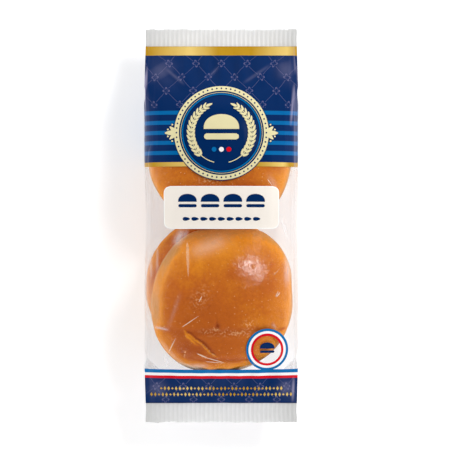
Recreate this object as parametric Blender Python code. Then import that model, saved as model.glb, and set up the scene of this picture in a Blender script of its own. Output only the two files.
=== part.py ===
"""A sealed clear bag of four brioche burger buns, lying on its back.

The buns lie in two layers of two. The film is drawn taut over them: it follows the domes,
dips between them, slopes down to a ribbed seal at each end and tucks in at the four end corners.
The whole bag is one closed solid. X is its width, +Y its printed head, Z up from its flat underside.
"""

import math

import bmesh
import bpy
from mathutils import Matrix, Vector
from mathutils.bvhtree import BVHTree

# Sizes of the bag, in metres
PACK_LENGTH = 0.2832
PACK_WIDTH = 0.1102
SEAL_WIDTH = 0.1090
HEAD_SEAL = 0.0124
FOOT_SEAL = 0.0140
SEAL_LEVEL = 0.036
SEAL_THICKNESS = 0.0008
SEAL_RIBS = 34
RIB_HEIGHT = 0.0008
SEAL_BITE = 0.0012

# Sizes of one bun
BUN_HEIGHT = 0.0420
BUN_WAIST = 0.36
HEEL_SHARE = 0.80
DOME_FULLNESS = 0.85
LAYER_RISE = 0.0395

# The buns: centre (x, y), layer, mean radius, lean about X in degrees, and the waves of the outline.
# A wave is its count round the bun, its share of the radius and its phase in degrees.
BUNS = (
    (0.0010, 0.0530, 0, 0.0505, 0.0, ()),
    (-0.0028, -0.0448, 0, 0.0515, 0.0, ((2, 0.012, 270),)),
    (-0.0008, 0.0478, 1, 0.0508, 0.0, ()),
    (0.0010, -0.0520, 1, 0.0524, -3.0, ((2, 0.042, 104), (3, 0.012, -102), (4, 0.019, -173))),
)

# How the film hangs on them
FILM_GAP = 0.0008
WALL_LOW = 0.020
WALL_HIGH = 0.054
WALL_HALF_LENGTH = 0.094
END_HALF_THICKNESS = 0.0010
DIP_DEPTH = 0.0060
DIP_SPREAD = 0.017
SIDE_DIP = 0.0009
SIDE_BOW = 0.0006
TUCK_DEPTH = 0.020
TUCK_START = 0.086
TUCK_OPEN = 0.80
TUCK_CLOSING = 0.86
SHARP_FROM = 0.072
SHARP_ALL = 0.100
SHARP_ANGLE = 38
FLAT_BELOW = 0.0004

# The pleats beside each seal, with the sway that makes them uneven, and their share on the underside
PLEAT_DEPTH = 0.0014
PLEAT_COUNT = 7
PLEAT_SWAY = 1.3
PLEAT_SWAY_RATE = 3.1
HEAD_PLEAT_PHASE = 0.8
FOOT_PLEAT_PHASE = 2.1
UNDER_PLEATS = 0.6

# Straight creases in the film: start, end and half-width
CREASE_DEPTH = 0.0016
CREASES = (
    ((0.026, -0.094), (0.050, -0.120), 0.006),
    ((-0.026, -0.094), (-0.050, -0.120), 0.006),
    ((0.026, 0.092), (0.050, 0.121), 0.006),
    ((-0.026, 0.092), (-0.050, 0.121), 0.006),
    ((-0.046, -0.072), (-0.020, -0.098), 0.005),
)

# Fineness of the mesh
PANEL_COLUMNS = 26
SIDE_ROWS = 8
STATIONS = 40
SMOOTHING_ROUNDS = 3
ROUNDING_ROUNDS = 8
ROUNDED_COLUMNS = 4
BUN_RINGS = 12
BUN_SIDES = 32
STATION_EVENNESS = 0.80
COLUMN_EVENNESS = 0.55
RAY_INSET = 0.9995
RAY_START = 1.0
SMOOTHING_KEPT = 0.5
ROUNDING_PULL = 0.5
WELD_DISTANCE = 1e-6

# Printed fields of the film, as distances from the foot end of the bag
NAVY_FOOT_TOP = 0.0327
NAVY_HEAD_BOTTOM = 0.1867
GOLD_HEAD_BOTTOM = 0.2640

FOOT_LINE = -PACK_LENGTH / 2 + FOOT_SEAL
HEAD_LINE = PACK_LENGTH / 2 - HEAD_SEAL

COLOURS = {
    "film_clear": ((0.82, 0.47, 0.20, 1.0), 0.30, 0.0),
    "film_navy": ((0.006, 0.032, 0.133, 1.0), 0.30, 0.0),
    "film_gold": ((0.60, 0.38, 0.07, 1.0), 0.30, 0.6),
    "seal_white": ((0.80, 0.80, 0.79, 1.0), 0.45, 0.0),
}


def clear_scene():
    for obj in list(bpy.data.objects):
        bpy.data.objects.remove(obj, do_unlink=True)


def blend(low, high, share):
    return low + (high - low) * share


def smooth_step(edge, end, value):
    share = min(1.0, max(0.0, (value - edge) / (end - edge)))
    return share * share * (3 - 2 * share)


def end_share(y):
    """0 in the body of the bag, rising to 1 at the line where the film meets a seal."""
    line = HEAD_LINE if y > 0 else -FOOT_LINE
    return min(1.0, max(0.0, (abs(y) - WALL_HALF_LENGTH) / (line - WALL_HALF_LENGTH)))


def outline_radius(radius, waves, angle):
    """The bun's radius towards one side, seen from above."""
    share = sum(size * math.cos(count * angle - math.radians(phase)) for count, size, phase in waves)
    return radius * (1 + share)


def bun_points(x, y, layer, radius, lean, waves):
    """Points on the outside of one bun: a flat heel, a rounded waist and a low dome."""
    waist = BUN_WAIST * BUN_HEIGHT
    turn = Matrix.Rotation(math.radians(lean), 4, "X")
    place = Vector((x, y, layer * LAYER_RISE))
    points = []
    for ring in range(BUN_RINGS + 1):
        rise = math.pi * (ring / BUN_RINGS - 0.5)
        if rise < 0:
            share = blend(HEEL_SHARE, 1.0, math.cos(rise))
            height = waist * (1 + math.sin(rise))
        else:
            share = math.cos(rise) ** DOME_FULLNESS
            height = waist + (BUN_HEIGHT - waist) * math.sin(rise)
        for side in range(BUN_SIDES):
            angle = 2 * math.pi * side / BUN_SIDES
            reach = share * outline_radius(radius, waves, angle)
            points.append(turn @ Vector((reach * math.cos(angle), reach * math.sin(angle), height)) + place)
    return points


def wall_points():
    """Corners of the two upright side walls and of the thin end edges that the film is stretched to."""
    corners = []
    for side in (-1, 1):
        for end in (-1, 1):
            for level in (WALL_LOW, WALL_HIGH):
                corners.append(Vector((side * PACK_WIDTH / 2, end * WALL_HALF_LENGTH, level)))
        for line in (FOOT_LINE, HEAD_LINE):
            for step in (-1, 1):
                level = SEAL_LEVEL + step * END_HALF_THICKNESS
                corners.append(Vector((side * SEAL_WIDTH / 2, line, level)))
    return corners


def taut_film():
    """The convex skin round the buns, the side walls and the two end edges, ready for ray casting."""
    mesh = bmesh.new()
    for bun in BUNS:
        for point in bun_points(*bun):
            mesh.verts.new(point)
    for point in wall_points():
        mesh.verts.new(point)
    found = bmesh.ops.convex_hull(mesh, input=mesh.verts)
    unused = [g for g in found["geom_interior"] if isinstance(g, bmesh.types.BMVert)]
    bmesh.ops.delete(mesh, geom=unused, context="VERTS")
    tree = BVHTree.FromBMesh(mesh)
    mesh.free()
    return tree


def half_width(y):
    return blend(PACK_WIDTH, SEAL_WIDTH, end_share(y)) / 2


def fold_level(y, upper):
    """Height of the long edge where the top or the bottom panel turns into the side of the bag."""
    body = WALL_HIGH if upper else WALL_LOW
    seal = SEAL_LEVEL + (END_HALF_THICKNESS if upper else -END_HALF_THICKNESS)
    return blend(body, seal, end_share(y))


def panel_height(tree, x, y, upper):
    """Height of the taut film over or under one spot."""
    side = 1 if upper else -1
    spot = Vector((x * RAY_INSET, y * RAY_INSET, side * RAY_START))
    hit = tree.ray_cast(spot, Vector((0, 0, -side)))[0]
    gap = FILM_GAP * (1 - end_share(y))
    if hit is None:
        return fold_level(y, upper)
    return hit.z + gap if upper else max(0.0, hit.z - gap)


def pleats(x, y):
    """Shallow folds that run out from each seal and die away over the slope."""
    share = end_share(y)
    fan = math.sin(math.pi * share) ** 2
    across = x / (SEAL_WIDTH / 2)
    phase = HEAD_PLEAT_PHASE if y > 0 else FOOT_PLEAT_PHASE
    sway = PLEAT_SWAY * math.sin(PLEAT_SWAY_RATE * across)
    wave = math.sin(PLEAT_COUNT * math.pi * across + sway + phase)
    return PLEAT_DEPTH * fan * wave * (1 - across**4)


def crease(x, y, start, end, width):
    """A V-shaped valley along the straight line from start to end, fading at both ends."""
    along = Vector(end) - Vector(start)
    offset = Vector((x, y)) - Vector(start)
    share = offset.dot(along) / along.length_squared
    if not 0 < share < 1:
        return 0.0
    away = abs(offset.x * along.y - offset.y * along.x) / along.length
    return -CREASE_DEPTH * max(0.0, 1 - away / width) * math.sin(math.pi * share)


def top_relief(x, y):
    """What the loose film adds to the taut form: a dip between the domes, pleats and creases."""
    flank = 1 - (x / (PACK_WIDTH / 2)) ** 4
    relief = -DIP_DEPTH * flank * math.exp(-((y / DIP_SPREAD) ** 2))
    relief += pleats(x, y)
    for start, end, width in CREASES:
        relief += crease(x, y, start, end, width)
    return relief


def smoothed(grid):
    """Averages each inner height with its neighbours, so that the facets of the taut skin don't show."""
    for _ in range(SMOOTHING_ROUNDS):
        old = [row[:] for row in grid]
        for i in range(1, len(grid) - 1):
            for j in range(1, len(grid[i]) - 1):
                beside = (old[i][j - 1] + old[i][j + 1] + old[i - 1][j] + old[i + 1][j]) / 4
                grid[i][j] = blend(beside, old[i][j], SMOOTHING_KEPT)
    return grid


def station_places():
    """Where the cross-sections lie along Y, closer together on the end slopes."""
    middle = (HEAD_LINE + FOOT_LINE) / 2
    reach = (HEAD_LINE - FOOT_LINE) / 2
    places = []
    for i in range(STATIONS + 1):
        share = 2 * i / STATIONS - 1
        places.append(middle + reach * blend(math.sin(math.pi / 2 * share), share, STATION_EVENNESS))
    return places


def column_places(y):
    """Where a panel's columns lie across X, closer together near its two long edges."""
    reach = half_width(y)
    steps = [2 * j / PANEL_COLUMNS - 1 for j in range(PANEL_COLUMNS + 1)]
    return [reach * blend(math.sin(math.pi / 2 * step), step, COLUMN_EVENNESS) for step in steps]


def panel(tree, upper):
    """Rows of points for the top or the bottom panel, from the foot end to the head end."""
    places = station_places()
    columns = [column_places(y) for y in places]
    heights = [[panel_height(tree, x, y, upper) for x in row] for y, row in zip(places, columns)]
    for row, y in zip(heights, places):
        row[0] = row[-1] = fold_level(y, upper)
    heights = smoothed(heights)
    rows = []
    for y, row, levels in zip(places, columns, heights):
        points = [Vector((row[0], y, levels[0]))]
        for x, z in zip(row[1:-1], levels[1:-1]):
            points.append(Vector((x, y, relieved(x, y, z, upper))))
        points.append(Vector((row[-1], y, levels[-1])))
        rows.append(points)
    return rows


def relieved(x, y, z, upper):
    """The height of one spot with the film's folds added. The underside is flat where it rests."""
    if upper:
        return z + top_relief(x, y)
    z -= UNDER_PLEATS * pleats(x, y)
    return z if z > FLAT_BELOW else 0.0


def tuck_depth(y):
    """How far the side of the bag folds inwards, which happens only near the seals."""
    line = HEAD_LINE if y > 0 else -FOOT_LINE
    opening = smooth_step(TUCK_START, blend(TUCK_START, line, TUCK_OPEN), abs(y))
    closing = 1 - smooth_step(blend(TUCK_START, line, TUCK_CLOSING), line, abs(y))
    return TUCK_DEPTH * opening * closing


def side_points(top, bottom):
    """Points down one side of the bag between the edges of its two panels, tucked in along the middle."""
    points = []
    for row in range(1, SIDE_ROWS):
        share = row / SIDE_ROWS
        point = top.lerp(bottom, share)
        fold = 1 - abs(2 * share - 1)
        bow = SIDE_BOW * math.sin(math.pi * share) * (1 - end_share(point.y))
        dip = SIDE_DIP * math.exp(-((point.y / DIP_SPREAD) ** 2))
        reach = abs(point.x) - tuck_depth(point.y) * fold + bow - dip
        points.append(Vector((math.copysign(reach, point.x), point.y, point.z)))
    return points


def rounded(section):
    """Rounds the long edges of one section where the bag is full. Near the seals they stay sharp."""
    soft = ROUNDING_PULL * (1 - smooth_step(SHARP_FROM, SHARP_ALL, abs(section[0].y)))
    count = len(section)
    edges = (0, PANEL_COLUMNS, PANEL_COLUMNS + SIDE_ROWS, count - SIDE_ROWS)
    near = {(edge + step) % count for edge in edges for step in range(-ROUNDED_COLUMNS, ROUNDED_COLUMNS + 1)}
    for _ in range(ROUNDING_ROUNDS):
        old = [point.copy() for point in section]
        for k in near:
            section[k] = old[k].lerp((old[k - 1] + old[(k + 1) % count]) / 2, soft)
    return section


def bag_body(tree):
    """The closed loft from one end edge to the other: top panel, side, bottom panel, other side."""
    upper = panel(tree, True)
    lower = panel(tree, False)
    mesh = bmesh.new()
    loops = []
    for top, bottom in zip(upper, lower):
        right = side_points(top[-1], bottom[-1])
        left = side_points(top[0], bottom[0])
        section = rounded(top + right + bottom[::-1] + left[::-1])
        loops.append([mesh.verts.new(point) for point in section])
    for near, far in zip(loops, loops[1:]):
        for k in range(len(near)):
            after = (k + 1) % len(near)
            mesh.faces.new((near[k], far[k], far[after], near[after]))
    mesh.faces.new(loops[0])
    mesh.faces.new(loops[-1][::-1])
    bmesh.ops.recalc_face_normals(mesh, faces=mesh.faces)
    return object_from(mesh, "bag")


def object_from(mesh, name):
    data = bpy.data.meshes.new(name)
    mesh.to_mesh(data)
    mesh.free()
    obj = bpy.data.objects.new(name, data)
    bpy.context.scene.collection.objects.link(obj)
    return obj


def seal(name, start, end):
    """A ribbed strip of film pressed flat, as a corrugated outline in XZ extruded along Y."""
    steps = 2 * SEAL_RIBS
    xs = [SEAL_WIDTH * (i / steps - 0.5) for i in range(steps + 1)]
    ribs = [RIB_HEIGHT / 2 * (1 if i % 2 else -1) for i in range(steps + 1)]
    half = SEAL_THICKNESS / 2
    outline = [(x, rib + half) for x, rib in zip(xs, ribs)]
    outline += [(x, rib - half) for x, rib in zip(xs[::-1], ribs[::-1])]
    curve = bpy.data.curves.new(name, "CURVE")
    curve.dimensions = "2D"
    curve.fill_mode = "BOTH"
    curve.extrude = (end - start) / 2
    spline = curve.splines.new("POLY")
    spline.points.add(len(outline) - 1)
    for point, (x, z) in zip(spline.points, outline):
        point.co = (x, z, 0, 1)
    spline.use_cyclic_u = True
    drawn = bpy.data.objects.new(name + "_outline", curve)
    bpy.context.scene.collection.objects.link(drawn)
    drawn.rotation_euler = (math.pi / 2, 0, 0)
    drawn.location = (0, (start + end) / 2, SEAL_LEVEL)
    bpy.context.view_layer.update()
    graph = bpy.context.evaluated_depsgraph_get()
    data = bpy.data.meshes.new_from_object(drawn.evaluated_get(graph))
    data.transform(drawn.matrix_world)
    bpy.data.objects.remove(drawn, do_unlink=True)
    mesh = bmesh.new()
    mesh.from_mesh(data)
    bpy.data.meshes.remove(data)
    bmesh.ops.remove_doubles(mesh, verts=mesh.verts, dist=WELD_DISTANCE)
    bmesh.ops.recalc_face_normals(mesh, faces=mesh.faces)
    return object_from(mesh, name)


def join_solids(body, pieces):
    """Joins the pieces to the body with one Boolean union and removes them."""
    group = bpy.data.collections.new("seals")
    bpy.context.scene.collection.children.link(group)
    for piece in pieces:
        bpy.context.scene.collection.objects.unlink(piece)
        group.objects.link(piece)
    union = body.modifiers.new("join_seals", "BOOLEAN")
    union.operation = "UNION"
    union.operand_type = "COLLECTION"
    union.collection = group
    union.solver = "EXACT"
    bpy.context.view_layer.objects.active = body
    body.select_set(True)
    bpy.ops.object.modifier_apply(modifier=union.name)
    for piece in pieces:
        bpy.data.objects.remove(piece, do_unlink=True)
    bpy.data.collections.remove(group)


def colour_of(y):
    """The material of a face, by how far up the bag its middle lies."""
    height = y + PACK_LENGTH / 2
    if height < FOOT_SEAL or height > PACK_LENGTH - HEAD_SEAL:
        return "seal_white"
    if height > GOLD_HEAD_BOTTOM:
        return "film_gold"
    if height < NAVY_FOOT_TOP or height > NAVY_HEAD_BOTTOM:
        return "film_navy"
    return "film_clear"


def make_material(name):
    colour, roughness, metallic = COLOURS[name]
    material = bpy.data.materials.new(name)
    material.use_nodes = True
    shader = material.node_tree.nodes["Principled BSDF"]
    shader.inputs["Base Color"].default_value = colour
    shader.inputs["Roughness"].default_value = roughness
    shader.inputs["Metallic"].default_value = metallic
    return material


def paint(bag):
    """Gives the bag its fields: white seals, gold band, navy head and foot, and clear middle."""
    names = list(COLOURS)
    for name in names:
        bag.data.materials.append(make_material(name))
    for face in bag.data.polygons:
        face.material_index = names.index(colour_of(face.center.y))
    bag.data.shade_smooth()
    bag.data.set_sharp_from_angle(angle=math.radians(SHARP_ANGLE))


def main():
    clear_scene()
    group = bpy.data.collections.new("bun_bag")
    bpy.context.scene.collection.children.link(group)
    bag = bag_body(taut_film())
    foot = seal("foot_seal", -PACK_LENGTH / 2, FOOT_LINE + SEAL_BITE)
    head = seal("head_seal", HEAD_LINE - SEAL_BITE, PACK_LENGTH / 2)
    join_solids(bag, [foot, head])
    paint(bag)
    bpy.context.scene.collection.objects.unlink(bag)
    group.objects.link(bag)


main()
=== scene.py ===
"""Looks of the sealed clear bag of four brioche burger buns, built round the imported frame.

The film, the buns shut in it, the two ribbed seals, the back seam and the print are pieces of their
own, and all ride on the one body. The film replaces the bag's plain solid and keeps its form.
X is the bag's width, +Y its printed head, Z up. All sizes are in metres.
"""

import math

import bmesh
import bpy
import numpy as np
from mathutils import Matrix, Vector, noise
from mathutils.bvhtree import BVHTree


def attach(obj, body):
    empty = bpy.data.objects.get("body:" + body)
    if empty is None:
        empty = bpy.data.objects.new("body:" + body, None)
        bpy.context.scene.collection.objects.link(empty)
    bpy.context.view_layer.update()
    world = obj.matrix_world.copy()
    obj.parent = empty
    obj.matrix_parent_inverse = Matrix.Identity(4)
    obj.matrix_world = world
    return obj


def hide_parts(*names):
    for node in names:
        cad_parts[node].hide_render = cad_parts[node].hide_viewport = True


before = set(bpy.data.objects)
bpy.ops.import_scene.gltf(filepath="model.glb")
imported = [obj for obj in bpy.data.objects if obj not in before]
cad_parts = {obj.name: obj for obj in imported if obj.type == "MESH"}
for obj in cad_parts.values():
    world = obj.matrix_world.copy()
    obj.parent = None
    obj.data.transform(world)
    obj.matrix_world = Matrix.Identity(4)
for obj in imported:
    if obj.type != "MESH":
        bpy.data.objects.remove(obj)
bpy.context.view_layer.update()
BODY = "root"

# Sizes of the bag, as in its source
PACK_LENGTH = 0.2832
PACK_WIDTH = 0.1102
SEAL_WIDTH = 0.1090
HEAD_SEAL = 0.0124
FOOT_SEAL = 0.0140
SEAL_LEVEL = 0.036
SEAL_RIBS = 34
SEAL_RIB_HEIGHT = 0.00019
WALL_LOW = 0.020
WALL_HIGH = 0.054
WALL_HALF_LENGTH = 0.094
END_HALF_THICKNESS = 0.0005
DIP_DEPTH = 0.0060
DIP_SPREAD = 0.017
SIDE_DIP = 0.0009
SIDE_BOW = 0.0006
TUCK_DEPTH = 0.020
TUCK_START = 0.086
SHARP_FROM = 0.072
SHARP_ALL = 0.100
PLEAT_DEPTH = 0.0014
PLEAT_COUNT = 7
CREASE_DEPTH = 0.0016
FOOT_LINE = -PACK_LENGTH / 2 + FOOT_SEAL
HEAD_LINE = PACK_LENGTH / 2 - HEAD_SEAL

# Sizes of one bun, as in the bag's source
BUN_HEIGHT = 0.0420
BUN_WAIST = 0.36
HEEL_SHARE = 0.80
DOME_FULLNESS = 0.85
LAYER_RISE = 0.0395
BUN_SQUASH_GAP = 0.0003
HEEL_LEVEL = 0.0012

# The film's own fineness and clearances
FILM_GAP = 0.0008
FILM_CLEARANCE = 0.00035
FILM_FLOOR_GAP = 0.0004
FILM_STEP = 0.0009
TOP_COLUMNS = 128
SIDE_STEPS = 30
TAUT_BLUR = 42
ROUND_REACH = 16
ROUND_TURNS = 160
PUSH_BELOW = 0.050
PUSH_TURNS = 10
UNDER_CLEARANCE = 0.0006
PRINT_LIFT = 0.00016
UNDER_SPREAD = 0.96
SEAM_WIDTH = 0.010
SEAM_LIFT = 0.00025
HULL_STRIDE = 7
RAY_INSET = 0.9995
SEAL_LAP = 0.0006
SEAL_THICKNESS = 0.0005
FLANK_FROM = 0.030

# Printed fields of the film, in metres along Y
STRIPE_PITCH = 0.00717
STRIPE_WIDTH = 0.0028
STRIPE_MIDDLE = 0.0660
NAVY_FOOT_TOP = -0.1089
RED_TOP = -0.1069
WHITE_TOP = -0.1049
BLUE_TOP = -0.1023
CLEAR_TOP = 0.0420
GOLD_LINE_TOP = 0.0451
NAVY_HEAD_TOP = 0.1224

# The round badge, the label and the rosette
BADGE_MIDDLE = (0.0002, 0.0658)
BADGE_RADIUS = 0.0333
BADGE_RING = 0.0034
LABEL_MIDDLE = (0.0002, 0.0130)
LABEL_SIZE = (0.0802, 0.0289)
LABEL_CORNER = 0.0040
ROSETTE_MIDDLE = (0.0326, -0.0878)
ROSETTE_RADIUS = 0.0150
ROSETTE_RING = 0.0017
ROSETTE_SIGN = 0.0105
LEAF_LENGTH = 0.0064
LEAF_EDGE = 0.0009
LEAF_INSET = 0.0016
DISC_EDGE = 0.0006
RING_BEADS = 60
RING_BEAD = 0.0012
WHEAT_RADIUS = 0.0215
WHEAT_GRAIN = 0.0050
BADGE_SIGN = 0.0250
BADGE_BEAD = 0.0017
BADGE_BEAD_PITCH = 0.0052
BADGE_BEAD_DROP = 0.0118
LABEL_EDGE = 0.0007
SIGN_PITCH = 0.0160
SIGN_WIDTH = 0.0132
SIGN_RISE = 0.0032
GRAIN_PITCH = 0.0062
GRAIN_SIZE = (0.0052, 0.0026)
GRAIN_DROP = 0.0080
TRIM_ROWS = ((-0.1163, 0.086), (-0.1209, 0.100))
TRIM_PITCH = 0.0026
TRIM_TALL = 0.0031
TRIM_SHORT = 0.0017
TRIM_WIDTH = 0.0018

# The camera looks straight down on the bag
PHOTO_SIDE = 450
METRES_PER_PIXEL = 0.000716
CAMERA_HEIGHT = 2.25
VIEW_LEVEL = 0.050
VIEW_MIDDLE = (0.0027, 0.0006)
SENSOR = 0.036
WORLD_SIDE = 1.7
WORLD_TOP = 0.22
FLOOR_GLOW = 0.36
FLOOR_HALF_SIDE = 4.0
WORLD_FADE = (0.34, 0.64)


# Small helpers


def smooth_step(edge, end, value):
    share = np.clip((value - edge) / (end - edge), 0.0, 1.0)
    return share * share * (3 - 2 * share)


def mix(low, high, share):
    return low + (high - low) * share


def on_circle(middle, radius, angle):
    return (middle[0] + radius * math.cos(angle), middle[1] + radius * math.sin(angle))


def perlin(points, scale, offset):
    """Perlin noise at each row of points, scaled per axis."""
    shift = Vector(offset)
    size = Vector(scale)
    return np.array([noise.noise(Vector(p) * size + shift) for p in points])


def new_object(name, verts, faces, materials=(), smooth=True):
    data = bpy.data.meshes.new(name)
    data.from_pydata([tuple(v) for v in verts], [], faces)
    for material in materials:
        data.materials.append(material)
    if smooth:
        data.shade_smooth()
    obj = bpy.data.objects.new(name, data)
    bpy.context.scene.collection.objects.link(obj)
    return obj


def grid_faces(rows, columns, closed=False):
    """Quads between neighbouring rows and columns of a grid of points."""
    faces = []
    for i in range(rows - 1):
        near = i * columns
        far = near + columns
        for j in range(columns if closed else columns - 1):
            after = (j + 1) % columns
            faces.append((near + j, near + after, far + after, far + j))
    return faces


def paint(obj, name, values):
    """Gives each point of a mesh its own value, for its material to read."""
    layer = obj.data.attributes.new(name, "FLOAT", "POINT")
    layer.data.foreach_set("value", np.asarray(values, dtype=np.float32))


# Materials


class Nodes:
    """Builds one material's node tree with short calls."""

    def __init__(self, name):
        self.material = bpy.data.materials.new(name)
        self.material.use_nodes = True
        self.tree = self.material.node_tree
        self.tree.nodes.clear()
        self.out = self.tree.nodes.new("ShaderNodeOutputMaterial")

    def add(self, kind, values=None, **settings):
        node = self.tree.nodes.new("ShaderNode" + kind)
        for key, value in settings.items():
            setattr(node, key, value)
        for key, value in (values or {}).items():
            self.put(value, node.inputs[key])
        return node

    def put(self, value, socket):
        if isinstance(value, bpy.types.NodeSocket):
            self.tree.links.new(value, socket)
        else:
            socket.default_value = value

    def math(self, operation, a, b=0.0, clamp=False):
        return self.add("Math", {0: a, 1: b}, operation=operation, use_clamp=clamp).outputs[0]

    def times(self, a, b, clamp=False):
        return self.math("MULTIPLY", a, b, clamp)

    def plus(self, a, b, clamp=False):
        return self.math("ADD", a, b, clamp)

    def flat(self):
        """The film's own flat coordinates, in metres."""
        return self.add("UVMap", uv_map="flat").outputs["UV"]

    def attribute(self, name):
        return self.add("Attribute", attribute_name=name).outputs["Fac"]

    def ramp(self, fac, stops):
        node = self.add("ValToRGB", {"Fac": fac})
        elements = node.color_ramp.elements
        while len(elements) < len(stops):
            elements.new(0.5)
        for element, (place, colour) in zip(elements, stops):
            element.position = place
            element.color = (*colour, 1.0) if len(colour) == 3 else colour
        return node.outputs["Color"]

    def noise(self, vector, scale, detail=3.0, roughness=0.55):
        values = {"Vector": vector, "Scale": scale, "Detail": detail, "Roughness": roughness}
        return self.add("TexNoise", values).outputs["Fac"]

    def stretched(self, vector, scale):
        return self.add("Mapping", {"Vector": vector, "Scale": scale}).outputs["Vector"]

    def mixed(self, fac, a, b):
        node = self.add("Mix", data_type="RGBA")
        self.put(fac, node.inputs[0])
        self.put(a if isinstance(a, bpy.types.NodeSocket) else (*a, 1.0), node.inputs[6])
        self.put(b if isinstance(b, bpy.types.NodeSocket) else (*b, 1.0), node.inputs[7])
        return node.outputs[2]

    def bump(self, height, strength, distance):
        values = {"Height": height, "Strength": strength, "Distance": distance}
        return self.add("Bump", values).outputs["Normal"]

    def done(self, shader):
        self.tree.links.new(shader, self.out.inputs["Surface"])
        return self.material

    def principled(self, values):
        return self.done(self.add("BsdfPrincipled", values).outputs[0])


def film_bump(n):
    """Long faint streaks down the film, with a little fine crinkle."""
    flat = n.flat()
    streaks = n.noise(n.stretched(flat, (1.0, 0.10, 1.0)), 260.0, 3.0)
    crinkle = n.noise(n.stretched(flat, (1.0, 0.6, 1.0)), 700.0, 2.0)
    return n.bump(n.plus(streaks, n.times(crinkle, 0.3)), 0.35, 0.0005)


# White of the film's haze, also of the glare and light painted on it
FILM_MILK_AND_GLARE = (0.93, 0.92, 0.93)
FILM_EDGE_HAZE = 0.09
FILM_EDGE_MIRROR = 0.6
FILM_LEAST = 0.002


def clear_film(name, tint):
    """Clear tinted film, milky where it is seen edge on and where haze, glare and light are painted on it,
    and mirroring only near its edges.
    """
    n = Nodes(name)
    normal = film_bump(n)
    facing = n.add("LayerWeight", {"Blend": 0.5}).outputs["Facing"]
    haze_and_glare = n.plus(n.times(n.math("POWER", facing, 2.0), FILM_EDGE_HAZE), FILM_LEAST)
    # Painted glare and light over shade join the haze here
    haze_and_glare = n.plus(haze_and_glare, n.attribute("haze_and_glare"), clamp=True)
    sheet = n.add("BsdfTransparent", {"Color": (*tint, 1)}).outputs[0]
    milk_and_glare = n.add("BsdfDiffuse", {"Color": (*FILM_MILK_AND_GLARE, 1)}).outputs[0]
    body = n.add("MixShader", {0: haze_and_glare, 1: sheet, 2: milk_and_glare}).outputs[0]
    gloss = n.add("BsdfGlossy", {"Color": (1, 1, 1, 1), "Roughness": 0.14, "Normal": normal}).outputs[0]
    edge = n.add("LayerWeight", {"Blend": 0.5, "Normal": normal}).outputs["Facing"]
    edge = n.times(n.math("POWER", edge, 4.0), FILM_EDGE_MIRROR)
    mirror = n.plus(edge, FILM_LEAST, clamp=True)
    return n.done(n.add("MixShader", {0: mirror, 1: body, 2: gloss}).outputs[0])


# Warm white of the whitened creases, also their painted glint
CREASE_GLINT_MILK = (0.98, 0.82, 0.64)


def crease_film(name, opacity):
    """Film whitened where a sharp fold has strained it, its warm white also a painted glint along the
    fold.
    """
    n = Nodes(name)
    flat = n.flat()
    broken = n.times(n.plus(n.noise(flat, 900.0, 3.0), 0.5), opacity, clamp=True)
    sheet = n.add("BsdfTransparent", {"Color": (1, 1, 1, 1)}).outputs[0]
    milk_and_glare = n.add("BsdfDiffuse", {"Color": (*CREASE_GLINT_MILK, 1)}).outputs[0]
    return n.done(n.add("MixShader", {0: broken, 1: sheet, 2: milk_and_glare}).outputs[0])


INK_SPECULAR = 0.03
# Lilac the ink pales to under the film's haze and painted glare
FILM_LILAC_GLARE = (0.470, 0.430, 0.600)
LILAC_SHARE = 0.60


def under_haze_and_glare(n, base):
    """The ink paled towards lilac by the film's hazy patches and its painted glare."""
    haze_and_glare = n.attribute("haze_and_glare")
    return n.mixed(n.times(haze_and_glare, LILAC_SHARE, clamp=True), base, FILM_LILAC_GLARE)


def printed(name, colour, roughness=0.30, variation=0.05):
    """Ink on the film: one colour, slightly uneven, with the film's streaks."""
    n = Nodes(name)
    flat = n.flat()
    cloud = n.noise(flat, 90.0, 4.0)
    darker = tuple(c * (1 - variation) for c in colour)
    lighter = tuple(min(1.0, c * (1 + variation)) for c in colour)
    base = under_haze_and_glare(n, n.mixed(cloud, darker, lighter))
    values = {
        "Base Color": base,
        "Roughness": roughness,
        "Specular IOR Level": INK_SPECULAR,
        "Normal": film_bump(n),
    }
    return n.principled(values)


NAVY = (0.0005, 0.020, 0.100)
LILAC = (0.110, 0.110, 0.230)
SKY = (0.0, 0.120, 0.345)
GOLD_DARK = (0.455, 0.245, 0.006)
GOLD_LIGHT = (0.740, 0.530, 0.150)
CREAM = (0.740, 0.670, 0.390)
LABEL_CREAM = (0.870, 0.808, 0.736)
LABEL_RIM = (0.930, 0.930, 0.910)
RIBBON_BLUE = (0.002, 0.140, 0.390)
RIBBON_RED = (0.640, 0.004, 0.014)
PAPER_WHITE = (0.880, 0.870, 0.870)
LATTICE_PITCH = 0.0201
LATTICE_LEVEL = 0.1163
LATTICE_LOW = 0.0840
LATTICE_LINE = 0.00045
FLOWER_SIZE = 0.0040
FLOWER_HOLE = 0.62
LATTICE_INK = 0.62
FLOWER_INK = 0.75


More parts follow.
